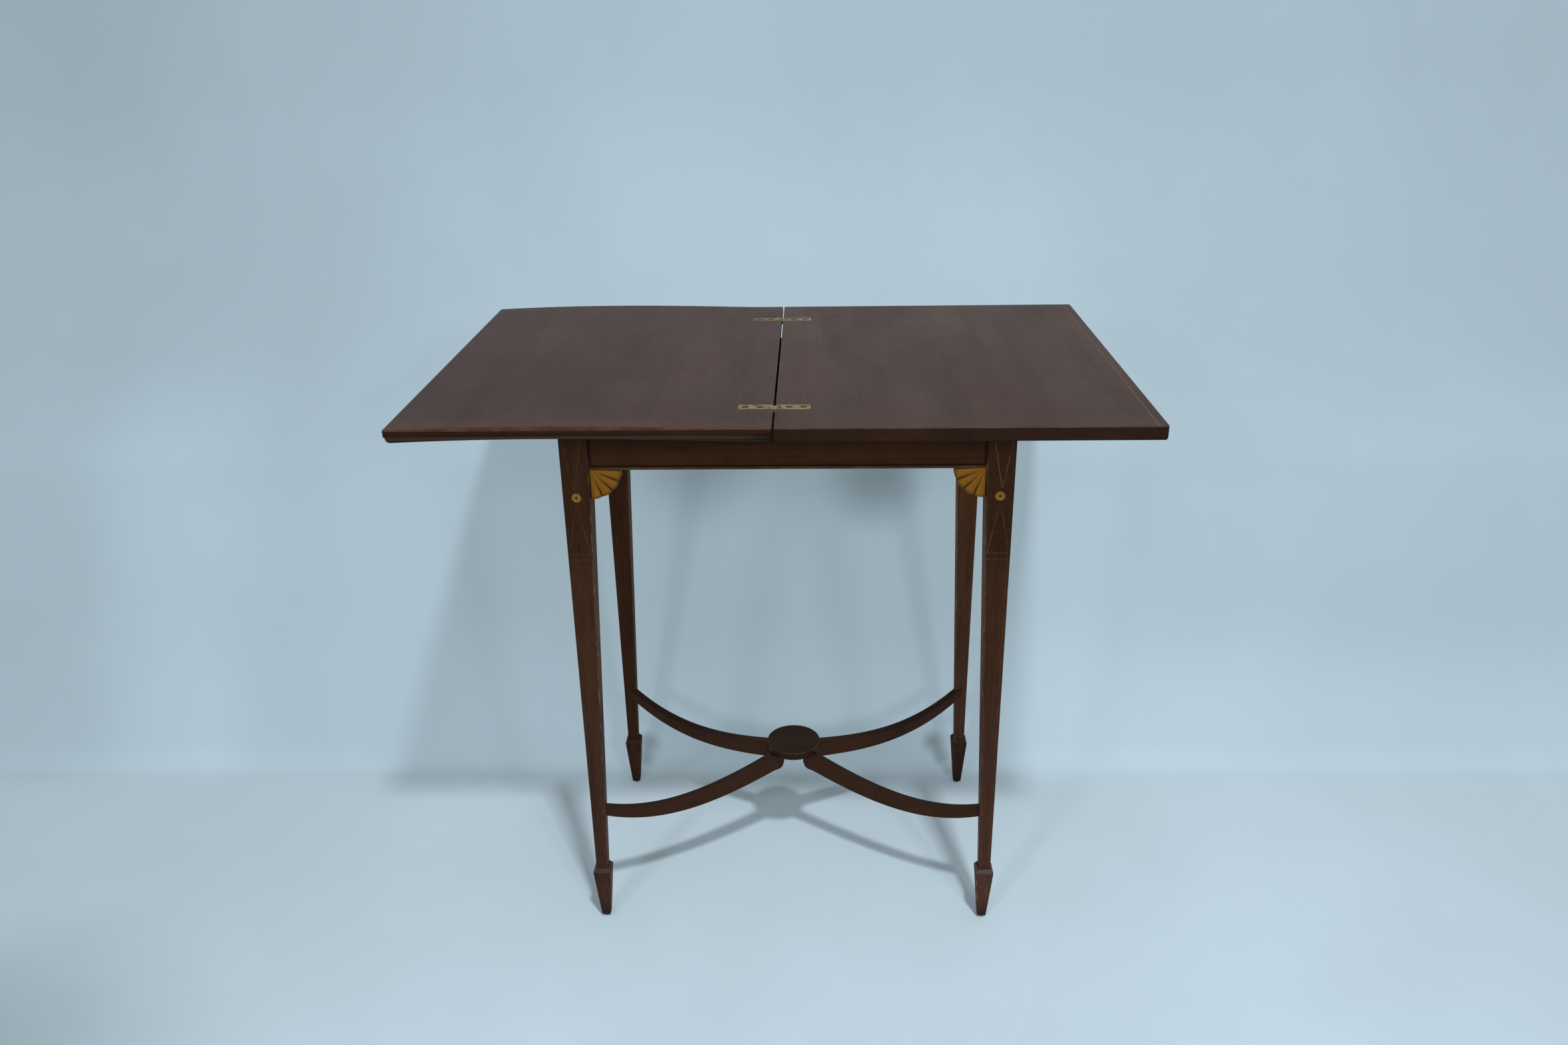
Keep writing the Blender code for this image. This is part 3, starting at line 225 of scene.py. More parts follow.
# Painted highlight: a lighter upright band on the wall at the left.
stripe_x = -1.00
painted_light_stripe = fade(tree, gap(tree, parts["X"], stripe_x), 0.03, 0.20, 0.12, 0.0)
painted_light_stripe = times(tree, wall, painted_light_stripe)
painted_light_stripe = times(tree, painted_light_stripe, fade(tree, parts["Z"], 0.35, 0.75, 1.0, 0.2))
painted_light_and_mottle = times(tree, painted_light_and_mottle, calc(tree, "ADD", painted_light_stripe, 1.0))
# Painted shade: the floor grows darker towards its front left corner.
near_corner = (-1.0, -0.47, 0.0)
corner = calc_vector(tree, "DISTANCE", {0: place, 1: near_corner}, "Value")
painted_light_and_mottle = times(tree, painted_light_and_mottle, fade(tree, corner, 0.05, 0.38, 0.72, 1.0))
cloud = noise(tree, place, (2.2, 2.2, 1.2), 4.0, 0.6)
painted_light_and_mottle = times(tree, painted_light_and_mottle, fade(tree, cloud, 0.35, 0.70, 0.97, 1.03))
tone = mix(tree, wall, (0.53, 0.675, 0.765, 1), (0.255, 0.330, 0.378, 1))
tone = dimmed(tree, tone, painted_light_and_mottle)
seen = add(tree, "LightPath").outputs["Is Camera Ray"]
tree.links.new(mix(tree, seen, (0.50, 0.50, 0.50, 1), tone), shader.inputs["Base Color"])
# Painted light: the wall gives off fill light for the camera alone, which lightens its shadows.
shader.inputs["Emission Color"].default_value = (0.180, 0.243, 0.280, 1)
painted_fill_glow = times(tree, times(tree, wall, painted_light_and_mottle), seen)
tree.links.new(painted_fill_glow, shader.inputs["Emission Strength"])
front = add(tree, "NewGeometry").outputs["Backfacing"]
behind = times(tree, calc(tree, "SUBTRACT", 1.0, front), seen)
clear = add(tree, "BsdfTransparent")
paper_side = add(tree, "MixShader", {0: behind, 1: shader.outputs[0], 2: clear.outputs[0]})
tree.links.new(paper_side.outputs[0], tree.nodes["Material Output"].inputs["Surface"])
sweep = skin("studio_sweep", [sweep_points], paper, sharp=60.0)

world = bpy.data.worlds.new("studio")
bpy.context.scene.world = world
world.use_nodes = True
tree = world.node_tree
seen = add(tree, "LightPath").outputs["Is Camera Ray"]
background = tree.nodes["Background"]
tree.links.new(mix(tree, seen, (0.43, 0.43, 0.435, 1), (0.42, 0.54, 0.61, 1)), background.inputs["Color"])

for lamp_name, lamp_place, lamp_size, lamp_power in (
    ("high_lamp", (0.60, -2.10, 4.00), 0.26, 90.0),
    ("left_lamp", (-1.35, -2.70, 1.75), 0.35, 15.0),
    ("right_lamp", (1.30, -2.70, 1.75), 0.35, 16.0),
):
    lamp = bpy.data.lights.new(lamp_name, "AREA")
    lamp.shape = "SQUARE"
    lamp.size = lamp_size
    lamp.energy = lamp_power
    holder = bpy.data.objects.new(lamp_name, lamp)
    holder.location = lamp_place
    holder.rotation_euler = (Vector((0.0, 0.0, 0.4)) - Vector(lamp_place)).to_track_quat("-Z", "Y").to_euler()
    bpy.context.scene.collection.objects.link(holder)

camera_place = Vector((0.04446, -1.49528, 1.157))
camera_yaw = math.radians(-1.58486)
camera_pitch = math.radians(23.19037)
camera_roll = math.radians(-0.87513)
ahead = Vector((
    math.sin(camera_yaw) * math.cos(camera_pitch),
    math.cos(camera_yaw) * math.cos(camera_pitch),
    -math.sin(camera_pitch),
))
level_right = Vector((math.cos(camera_yaw), -math.sin(camera_yaw), 0.0))
level_up = level_right.cross(ahead)
tilted_right = level_right * math.cos(camera_roll) + level_up * math.sin(camera_roll)
tilted_up = level_up * math.cos(camera_roll) - level_right * math.sin(camera_roll)
camera_data = bpy.data.cameras.new("camera")
camera_data.sensor_width = 36.0
camera_data.lens = 28.316
camera = bpy.data.objects.new("camera", camera_data)
camera.matrix_world = (
    Matrix.Translation(camera_place) @ Matrix((tilted_right, tilted_up, -ahead)).transposed().to_4x4()
)
bpy.context.scene.collection.objects.link(camera)
bpy.context.scene.camera = camera
bpy.context.scene.view_settings.view_transform = "Standard"


# Legs
# Four legs of solid mahogany, square in the frieze, tapered on their two inner faces and ending in a
# spade foot. The front legs have fine boxwood lines let into their front faces. Painted light turns the
# legs bluer towards the floor, lightens their inner faces, feet and foot chamfers, lightens the back
# right leg and darkens the back left leg.

base_middle = 0.012
base_half_width = 0.263
base_half_depth = 0.163
leg_head = 0.033
leg_ankle = 0.0152
leg_top = 0.7235
head_bottom = 0.6517
foot_height = 0.083
foot_bottom = 0.0031
foot_waist = 0.0118
foot_shoulder = 0.0090
foot_tip = 0.0059
bevel_low = 0.0776
bevel_high = 0.0828
leg_arris = 0.0008
foot_arris = 0.0011
line_half_width = 0.00045

grain_turns = {"X": (0.0, 0.0, 0.0), "Y": (0.0, 0.0, -math.pi / 2), "Z": (0.0, math.pi / 2, 0.0)}


def new_group(name, takes, gives):
    """An empty effect that finishes share, with sockets of these kinds. Gives its tree and both ends."""
    group = bpy.data.node_groups.new(name, "ShaderNodeTree")
    for way, sockets in (("INPUT", takes), ("OUTPUT", gives)):
        for socket_name, kind in sockets.items():
            group.interface.new_socket(name=socket_name, in_out=way, socket_type="NodeSocket" + kind)
    return group, group.nodes.new("NodeGroupInput").outputs, group.nodes.new("NodeGroupOutput").inputs


wood_figure, given, wanted = new_group("wood_figure", {
    "Vector": "Vector", "Dark": "Color", "Light": "Color", "Contrast": "Float", "Pores": "Float",
}, {"Color": "Color", "Shine": "Float", "Height": "Float"})
tree = wood_figure
bend = times(tree, noise(tree, given["Vector"], (2.5, 9, 9), 1.0), 0.03)
bend = add(tree, "CombineXYZ", {1: bend}).outputs[0]
wavy = calc_vector(tree, "ADD", {0: given["Vector"], 1: bend})
broad = noise(tree, wavy, (1.7, 28, 28), 2.0)
streak = noise(tree, wavy, (5, 170, 170), 3.0, 0.6)
fibre = noise(tree, wavy, (22, 1100, 1100), 2.0, 0.6)
mottle = noise(tree, wavy, (42, 16, 16), 2.0)
pore = fade(tree, noise(tree, wavy, (75, 1500, 1500), 1.0), 0.60, 0.70)
blend = times(tree, broad, 0.34)
for figure, share in ((streak, 0.34), (fibre, 0.20), (mottle, 0.12)):
    blend = calc(tree, "MULTIPLY_ADD", figure, share, blend)
blend = calc(tree, "SUBTRACT", blend, 0.5)
blend = calc(tree, "MULTIPLY_ADD", blend, given["Contrast"], 0.5, clamp=True)
tone = mix(tree, blend, given["Dark"], given["Light"])
pore = times(tree, pore, given["Pores"])
tone = mix(tree, pore, tone, mix(tree, 1.0, given["Dark"], (0.35, 0.3, 0.3, 1), "MULTIPLY"))
height = calc(tree, "MULTIPLY_ADD", pore, -0.8, times(tree, fibre, 0.5))
tree.links.new(tone, wanted["Color"])
tree.links.new(calc(tree, "ADD", mottle, pore), wanted["Shine"])
tree.links.new(height, wanted["Height"])

inlay_line, given, wanted = new_group("inlay_line", {
    "Vector": "Vector", "Start": "Vector", "End": "Vector", "Half Width": "Float",
}, {"Mask": "Float"})
tree = inlay_line
to_point = calc_vector(tree, "SUBTRACT", {0: given["Vector"], 1: given["Start"]})
to_end = calc_vector(tree, "SUBTRACT", {0: given["End"], 1: given["Start"]})
along = calc_vector(tree, "DOT_PRODUCT", {0: to_point, 1: to_end}, "Value")
whole = calc_vector(tree, "DOT_PRODUCT", {0: to_end, 1: to_end}, "Value")
share = calc(tree, "DIVIDE", along, whole, clamp=True)
nearest = calc_vector(tree, "SCALE", {0: to_end, "Scale": share})
apart = calc_vector(tree, "DISTANCE", {0: to_point, 1: nearest}, "Value")
edge = times(tree, given["Half Width"], 1.35)
tree.links.new(fade(tree, apart, edge, given["Half Width"]), wanted["Mask"])


def lay_lines(tree, vector, lines):
    """The mask of several inlaid lines, each with its two ends and its strength."""
    mask = None
    for start, end, strength in lines:
        inputs = {"Vector": vector, "Start": start, "End": end, "Half Width": line_half_width}
        line = add(tree, "Group", inputs, node_tree=inlay_line)
        line = times(tree, line.outputs["Mask"], strength)
        mask = line if mask is None else calc(tree, "MAXIMUM", mask, line)
    return mask


def relief(tree, shader, height, strength, distance):
    """Gives a shader a fine relief by a height that changes over the surface, so many metres deep."""
    bump = add(tree, "Bump", {"Height": height, "Strength": strength, "Distance": distance})
    tree.links.new(bump.outputs[0], shader.inputs["Normal"])


def mahogany(
    name, grain, dark, light, gloss=0.5, contrast=3.0, pores=0.7, roughness=0.40, shift=(0, 0, 0), place=None,
):
    """Polished mahogany with its grain along X, Y or Z. Gives the parts that a section may add to."""
    made, tree, shader, spot = new_finish(name, roughness, gloss)
    spot = place(tree) if place else spot
    laid = add(tree, "Mapping", {"Vector": spot, "Location": shift, "Rotation": grain_turns[grain]})
    figure = add(tree, "Group", {
        "Vector": laid.outputs[0], "Dark": (*dark, 1), "Light": (*light, 1), "Contrast": contrast,
        "Pores": pores,
    }, node_tree=wood_figure)
    rough = calc(tree, "MULTIPLY_ADD", figure.outputs["Shine"], 0.16, roughness - 0.08)
    tree.links.new(rough, shader.inputs["Roughness"])
    relief(tree, shader, figure.outputs["Height"], 0.35, 0.0003)
    tree.links.new(figure.outputs["Color"], shader.inputs["Base Color"])
    return made, tree, shader, spot, figure.outputs["Color"]


edge_wear, given, wanted = new_group("edge_wear", {
    "Vector": "Vector", "Waves": "Vector", "Mask": "Float", "Low": "Float", "High": "Float",
    "Tone": "Color", "Worn": "Color",
}, {"Color": "Color"})
tree = edge_wear
patches = noise(tree, given["Vector"], given["Waves"], 3.0, 0.6)
rubbed = times(tree, given["Mask"], calc(tree, "ADD", patches, 0.15))
rubbed = fade(tree, rubbed, given["Low"], given["High"])
tree.links.new(mix(tree, rubbed, given["Tone"], given["Worn"]), wanted["Color"])


def wear(tree, place, tone, worn, low=0.62, high=0.80, mask=None, grain=(60, 60, 60)):
    """Polish rubbed off in patches where the mask, or else the arris attribute, is high."""
    if mask is None:
        mask = add(tree, "Attribute", attribute_name="arris").outputs["Fac"]
    inputs = {
        "Vector": place, "Waves": grain, "Mask": mask, "Low": low, "High": high, "Tone": tone, "Worn": worn,
    }
    return add(tree, "Group", inputs, node_tree=edge_wear).outputs["Color"]


def tint(tree, share, tone, factors):
    """A tone times three factors, for red, green and blue, laid over the tone by a share from 0 to 1."""
    return mix(tree, share, tone, mix(tree, 1.0, tone, (*factors, 1), "MULTIPLY"))


def leg_rings(levels, corner_steps=6):
    """Rounded squares in turn up a leg, one to each level of height, inner and outer limit and rounding.

    Each corner is a quarter circle about a point inset by the rounding, and the flats between them get
    three more points each. The first and last rows lie in one point.
    """
    height, low, high, rounding = (levels[:, column, None, None, None] for column in range(4))
    signs = np.array([(1, 1), (-1, 1), (-1, -1), (1, -1)], float)
    quarter = np.linspace(0.0, np.pi / 2, corner_steps)
    angle = quarter[None, :] + np.pi / 2 * np.arange(4)[:, None]
    around = np.stack([np.cos(angle), np.sin(angle)], axis=-1)
    half = (high - low) / 2
    corners = (low + high) / 2 + signs[None, :, None, :] * (half - rounding) + rounding * around[None]
    shares = np.array([0.10, 0.5, 0.90])[None, None, :, None]
    last = corners[:, :, -1:, :]
    following = np.roll(corners[:, :, :1, :], -1, axis=1)
    loop = np.concatenate([corners, last + (following - last) * shares], axis=2)
    loop = loop.reshape(len(levels), -1, 2)
    loop = np.concatenate([loop, loop[:, :1]], axis=1)
    raised = np.broadcast_to(height[:, :, 0], loop.shape[:2] + (1,))
    rings = np.concatenate([loop, raised], axis=-1)
    ends = [np.broadcast_to(ring.mean(axis=0), ring.shape) for ring in (rings[0, :-1], rings[-1, :-1])]
    first = np.broadcast_to(ends[0][:1], rings[0].shape)
    final = np.broadcast_to(ends[1][:1], rings[0].shape)
    worn = np.tile(np.array([1.0] * corner_steps + [0.0] * 3), 4)
    worn = np.append(worn, worn[0])
    worn = np.broadcast_to(worn, (len(levels) + 2, len(worn)))
    return np.concatenate([first[None], rings, final[None]]), worn


foot_middle = leg_ankle / 2
foot_flare = foot_waist - foot_tip
foot_side = np.array([
    (foot_bottom, foot_tip - 0.0014), (foot_bottom + 0.0005, foot_tip - 0.0006),
    (foot_bottom + 0.0016, foot_tip), (0.030, foot_tip + foot_flare * 0.359),
    (0.055, foot_tip + foot_flare * 0.693), (bevel_low - 0.0008, foot_waist - 0.0001),
    (bevel_low, foot_waist), (bevel_low + 0.0007, foot_waist - 0.0002),
    (bevel_high - 0.0006, foot_shoulder + 0.0003), (bevel_high, foot_shoulder),
    (foot_height, foot_shoulder - 0.0003),
])
leg_levels = [(z, foot_middle - half, foot_middle + half, foot_arris) for z, half in foot_side]
leg_levels += [(foot_height, 0.0, leg_ankle, leg_arris), (foot_height + 0.0004, 0.0, leg_ankle, leg_arris)]
taper = np.linspace(0.0, 1.0, 14)[1:]
leg_levels += [
    (foot_height + (head_bottom - foot_height) * t, 0.0, leg_ankle + (leg_head - leg_ankle) * t, leg_arris)
    for t in taper
]
leg_levels += [
    (leg_top - leg_arris, 0.0, leg_head, leg_arris), (leg_top, 0.0003, leg_head - 0.0003, leg_arris),
]
leg_shape, leg_worn = leg_rings(np.array(leg_levels))
leg_slope = (leg_head - leg_ankle) / (head_bottom - foot_height)

leg_wood, tree, shader, place, tone = mahogany(
    "leg_mahogany", "Z", (0.016, 0.0064, 0.0024), (0.060, 0.026, 0.0100), 0.08, contrast=2.6, pores=0.45,
    roughness=0.42,
)
parts = axes(tree, place)
out = gap(tree, parts["X"], base_middle)
face = add(tree, "CombineXYZ", {0: out, 1: parts["Z"]}).outputs[0]
on_front = calc(tree, "LESS_THAN", parts["Y"], -base_half_depth + 0.0002)
shaft_bottom = 0.100
shaft_width = 0.0157
line_inset = 0.0030
inner_low = base_half_width - shaft_width + line_inset
lines = lay_lines(tree, face, (
    ((0.2350, 0.700, 0), (0.2485, 0.629, 0), 0.80),
    ((0.2600, 0.694, 0), (0.2495, 0.629, 0), 0.65),
    ((0.2473, 0.608, 0), (0.2352, 0.545, 0), 0.80),
    ((0.2483, 0.608, 0), (0.2590, 0.556, 0), 0.50),
    ((0.2340, 0.5455, 0), (0.2598, 0.5455, 0), 0.45),
    ((0.2340, 0.5378, 0), (0.2598, 0.5378, 0), 0.60),
    ((0.2597, shaft_bottom, 0), (0.2597, 0.5378, 0), 0.25),
    ((inner_low, shaft_bottom, 0), (0.2345, 0.5378, 0), 0.42),
))
faded = fade(tree, noise(tree, place, (160, 160, 50), 2.0), 0.36, 0.60, 0.25, 1.0)
lines = times(tree, times(tree, lines, faded), on_front)
left_leg = calc(tree, "LESS_THAN", parts["X"], 0.0)
lines = times(tree, lines, calc(tree, "MULTIPLY_ADD", left_leg, -0.55, 1.0))
tone = wear(tree, place, tone, (0.115, 0.060, 0.028, 1), low=0.66, high=0.86)
# Painted light: the legs turn bluer towards the floor, as light thrown back by the pale paper.
tone = tint(tree, fade(tree, parts["Z"], 0.15, 0.60, 1.0, 0.0), tone, (0.98, 1.02, 1.75))
# Painted light: the back right leg is made lighter above its foot, the back left leg darker and warmer.
at_back = calc(tree, "GREATER_THAN", parts["Y"], 0.0)
right_leg = calc(tree, "SUBTRACT", 1.0, left_leg)
painted_light_back_right = times(tree, at_back, right_leg)
painted_light_back_right = times(tree, painted_light_back_right, fade(tree, parts["Z"], 0.078, 0.086))
tone = tint(tree, painted_light_back_right, tone, (1.75, 1.85, 1.75))
tone = tint(tree, times(tree, at_back, left_leg), tone, (0.92, 0.80, 0.62))
# Painted sheen: the tapered inner faces are made lighter and bluer, more so higher up.
width = calc(tree, "MULTIPLY_ADD", parts["Z"], leg_slope, leg_ankle - foot_height * leg_slope)
above_foot = calc(tree, "GREATER_THAN", parts["Z"], foot_height + 0.001)
painted_inner_sheen = calc(tree, "LESS_THAN", out, calc(tree, "SUBTRACT", base_half_width + 0.0006, width))
painted_inner_sheen = times(tree, painted_inner_sheen, above_foot)
painted_inner_sheen = times(tree, painted_inner_sheen, fade(tree, parts["Z"], 0.25, 0.45, 0.25, 0.75))
tone = tint(tree, painted_inner_sheen, tone, (2.25, 2.75, 3.4))
# Painted light: the feet and the lowest shaft are made lighter and bluer, most on the front right leg.
front_right = times(tree, calc(tree, "SUBTRACT", 1.0, at_back), right_leg)
foot_light_share = calc(tree, "MULTIPLY_ADD", front_right, 0.5, 0.1)
foot = fade(tree, parts["Z"], 0.076, 0.084, 1.0, 0.0)
painted_foot_light = calc(tree, "ADD", foot, fade(tree, parts["Z"], 0.10, 0.45, 0.35, 0.0))
tone = tint(tree, times(tree, foot_light_share, painted_foot_light), tone, (2.0, 2.2, 2.5))
# Painted sheen: a lighter grey band on the chamfer above each foot, most on the front right leg, faint at the
# back.
below_bevel_top = fade(tree, parts["Z"], bevel_high - 0.0004, bevel_high + 0.0004, 1.0, 0.0)
bevel_sheen = fade(tree, parts["Z"], bevel_low - 0.0004, bevel_low + 0.0004)
bevel_sheen = times(tree, bevel_sheen, below_bevel_top)
bevel_sheen = times(tree, bevel_sheen, calc(tree, "MULTIPLY_ADD", front_right, 0.45, 0.35))
bevel_sheen = times(tree, bevel_sheen, calc(tree, "MULTIPLY_ADD", at_back, -0.9, 1.0))
tone = mix(tree, bevel_sheen, tone, (0.075, 0.064, 0.058, 1))
# Darker towards the bottom of the foot.
darker_to_floor = fade(tree, parts["Z"], 0.0, 0.035, 0.7, 0.0)
tone = mix(tree, darker_to_floor, tone, (0.016, 0.010, 0.008, 1))
tone = mix(tree, lines, tone, (0.155, 0.078, 0.022, 1))
tree.links.new(tone, shader.inputs["Base Color"])

table_corners = (("front_left", -1, -1), ("front_right", 1, -1), ("back_left", -1, 1), ("back_right", 1, 1))
for leg_name, side, end in table_corners:
    shape = leg_shape.copy()
    shape[..., 0] = base_middle + side * (base_half_width - leg_shape[..., 0])
    shape[..., 1] = end * (base_half_depth - leg_shape[..., 1])
    leg = skin("leg_" + leg_name + "_wood", [shape], leg_wood, arris=[leg_worn])
    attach(leg, "base")
    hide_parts("leg_" + leg_name)


# Glides
# A small domed iron glide nailed under each foot, dark with age.

glide_profile = np.array([
    (0.0, 0.0), (0.0022, 0.0), (0.0031, 0.0003), (0.0040, 0.0010), (0.0047, 0.0019), (0.0049, 0.0027),
    (0.0048, 0.0028), (0.0008, 0.0028), (0.0008, 0.0120), (0.0, 0.0128),
])


def turned(profile, centre, steps=48, axis="Z"):
    """A profile of radius and height, carried once round a line through the centre along an axis."""
    angle = np.linspace(0.0, math.tau, steps + 1)
    angle[-1] = 0.0
    radius = profile[:, 0, None]
    first = radius * np.cos(angle)[None, :]
    second = radius * np.sin(angle)[None, :]
    along = np.broadcast_to(profile[:, 1, None], first.shape)
    order = {"Z": (first, second, along), "Y": (first, along, second)}[axis]
    return np.stack(order, axis=-1) + np.array(centre)


tarnish, given, wanted = new_group("tarnish", {
    "Vector": "Vector", "Blotches": "Vector", "Stains": "Vector", "Smoothest": "Float",
    "Dark": "Color", "Light": "Color", "Grime": "Color",
}, {"Color": "Color", "Roughness": "Float", "Height": "Float"})
tree = tarnish
blotch = noise(tree, given["Vector"], given["Blotches"], 4.0, 0.6)
scratch = noise(tree, given["Vector"], (2600, 260, 700), 2.0, 0.7)
tone = mix(tree, fade(tree, blotch, 0.34, 0.66), given["Dark"], given["Light"])
stain = fade(tree, noise(tree, given["Vector"], given["Stains"], 3.0, 0.65), 0.56, 0.70)
tree.links.new(mix(tree, times(tree, stain, 0.75), tone, given["Grime"]), wanted["Color"])
rough = calc(tree, "MULTIPLY_ADD", blotch, 0.25, given["Smoothest"])
tree.links.new(calc(tree, "MULTIPLY_ADD", stain, 0.15, rough), wanted["Roughness"])
tree.links.new(calc(tree, "ADD", scratch, blotch), wanted["Height"])


def metal(name, dark, light, roughness, grime, waves=220.0, shine=1.0):
    """Old metal: blotches of tarnish, fine scratches, and stains of dirt."""
    made, tree, shader, place = new_finish(name, roughness, metallic=shine)
    old = add(tree, "Group", {
        "Vector": place, "Blotches": (waves,) * 3, "Stains": (waves * 2.3,) * 3,
        "Smoothest": roughness - 0.12, "Dark": (*dark, 1), "Light": (*light, 1), "Grime": (*grime, 1),
    }, node_tree=tarnish).outputs
    tree.links.new(old["Color"], shader.inputs["Base Color"])
    tree.links.new(old["Roughness"], shader.inputs["Roughness"])
    relief(tree, shader, old["Height"], 0.3, 0.0001)
    return made


old_iron = metal("old_iron", (0.10, 0.09, 0.085), (0.25, 0.24, 0.23), 0.48, (0.05, 0.028, 0.018))
for glide_name, side, end in table_corners:
    centre = (
        base_middle + side * (base_half_width - foot_middle), end * (base_half_depth - foot_middle), 0.0,
    )
    glide = skin("glide_" + glide_name + "_dome", [turned(glide_profile, centre, 32)], old_iron)
    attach(glide, "base")
    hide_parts("glide_" + glide_name)


# Rails and beads
# Four mahogany rails, tenoned into the legs, with a half-round bead under each that stands a little proud.
# Painted shade darkens the rails towards the top, under the leaves, in a line just above the bead and
# beside each leg.

leg_inside = base_half_width - leg_head
joint_gap = 0.0003
rail_woods = {}
for grain in ("X", "Y"):
    rail_wood, tree, shader, place, tone = mahogany(
        "rail_mahogany_" + grain.lower(), grain, (0.021, 0.0083, 0.0032), (0.066, 0.0285, 0.0107), 0.06,
        contrast=2.4, pores=0.45,
    )
    parts = axes(tree, place)
    # Painted shade: darker towards the top, under the leaves, and dark lines just above the bead and beside
    # each leg.
    tone = dimmed(tree, tone, fade(tree, parts["Z"], 0.664, 0.720, 1.0, 0.55))
    crevice_shade = fade(tree, parts["Z"], 0.6562, 0.6580, 0.8, 0.0)
    if grain == "X":
        out = gap(tree, parts["X"], base_middle)
        shade_by_leg = fade(tree, out, leg_inside - 0.0042, leg_inside - 0.0030, 0.0, 0.6)
        crevice_shade = calc(tree, "MAXIMUM", crevice_shade, shade_by_leg)
    tone = mix(tree, crevice_shade, tone, (0.010, 0.005, 0.004, 1))
    tree.links.new(tone, shader.inputs["Base Color"])
    rail_woods[grain] = rail_wood
for rail_name, grain in (("rail_front", "X"), ("rail_back", "X"), ("rail_left", "Y"), ("rail_right", "Y")):
    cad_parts[rail_name].material_slots[0].material = rail_woods[grain]

bead_woods = {}
for grain in ("X", "Y"):
    bead_wood, tree, shader, place, tone = mahogany(
        "bead_mahogany_" + grain.lower(), grain, (0.030, 0.0115, 0.0045), (0.080, 0.035, 0.015), 0.15,
        contrast=2.2, shift=(0.4, 0.2, 0.1),
    )
    tone = wear(tree, place, tone, (0.11, 0.055, 0.028, 1), low=0.50, high=0.95, grain=(30, 70, 70))
    tree.links.new(tone, shader.inputs["Base Color"])
    bead_woods[grain] = bead_wood

bead_height = 0.004
bead_bottom = head_bottom
rail_setback = 0.004
rail_face_x = base_half_width - rail_setback
rail_face_y = base_half_depth - rail_setback
rail_thickness = 0.018
bead_proud = 0.00195
bead_turn = np.linspace(-np.pi / 2, np.pi / 2, 13)
bead_out = bead_proud - bead_height / 2 + bead_height / 2 * np.cos(bead_turn)
bead_up = bead_height / 2 + bead_height / 2 * np.sin(bead_turn)
bead_section = np.stack([
    np.concatenate([[-rail_thickness], bead_out, [-rail_thickness], [-rail_thickness]]),
    np.concatenate([[0.0], bead_up, [bead_height], [0.0]]),
], axis=-1)


def strip(section, half_length, stations=24):
    """A closed section of outward and upward places, carried along a straight line, with both ends closed."""
    along = np.linspace(-half_length, half_length, stations)
    rows = np.zeros((stations, len(section), 3))
    rows[..., 0] = along[:, None]
    rows[..., 1] = section[None, :, 0]
    rows[..., 2] = section[None, :, 1]
    ends = [np.broadcast_to(row[:-1].mean(axis=0), row.shape) for row in (rows[0], rows[-1])]
    return np.concatenate([ends[0][None], rows, ends[1][None]])


for bead_name, grain, way in (
    ("bead_front", "X", -1), ("bead_back", "X", 1), ("bead_left", "Y", -1), ("bead_right", "Y", 1),
):
    half = (base_half_width if grain == "X" else base_half_depth) - leg_head - joint_gap
    rows = strip(bead_section, half)
    shape = np.zeros_like(rows)
    if grain == "X":
        shape[..., 0] = base_middle + rows[..., 0]
        shape[..., 1] = way * (rail_face_y + rows[..., 1])
    else:
        shape[..., 0] = base_middle + way * (rail_face_x + rows[..., 1])
        shape[..., 1] = rows[..., 0]
    shape[..., 2] = bead_bottom + rows[..., 2]
    nose = np.zeros(len(bead_section))
    nose[4:11] = 1.0
    worn = np.broadcast_to(nose, shape.shape[:2])
    bead = skin(bead_name + "_nose", [shape], bead_woods[grain], arris=[worn])
    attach(bead, "base")
    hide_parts(bead_name)


# Fan brackets
# A quarter fan of golden satinwood in the corner of each front leg and the bead. Its four petals swell
# towards a scalloped rim, and their joints were scorched dark in hot sand. A darker band just inside the
# rim is painted shade.

fan_radius = 0.036
fan_width_share = 1.03
fan_scallop = 0.0009
fan_relief = 0.0012
fan_thickness = 0.009
fan_petals = 4
petal_steps = 12
fan_corner_out = leg_inside - joint_gap
fan_corner_height = bead_bottom - joint_gap
fan_sweep = math.pi / 2 + math.atan2(leg_head - leg_ankle, head_bottom - foot_height)


def fan_rows(ring_count=14):
    """Rows from the corner out to the rim; each runs over the front from petal to petal and home behind.

    Across a petal the front swells as a half sine, and it swells more towards the rim. The last row lies
    on the back's rim, which closes the edge.
    """
    turn = np.linspace(0.0, fan_petals, fan_petals * petal_steps + 1)
    swell = np.abs(np.sin(np.pi * turn))
    angle = fan_sweep * turn / fan_petals
    reach = fan_radius - fan_scallop * (1.0 - swell)
    share = np.linspace(0.0, 1.0, ring_count)[:, None]
    radius = share * reach[None, :]
    rounded = np.where(share > 0.97, 0.55, 1.0)
    relief = fan_relief * (0.25 * share + 0.75 * share ** 2) * swell * rounded
    front = np.stack([fan_width_share * radius * np.cos(angle), -relief, -radius * np.sin(angle)], axis=-1)
    back = front.copy()
    back[..., 1] = fan_thickness
    rows = np.concatenate([front, back[:, ::-1], front[:, :1]], axis=1)
    rim = np.concatenate([back[-1:], back[-1:, ::-1], back[-1:, :1]], axis=1)
    return np.concatenate([rows, rim])


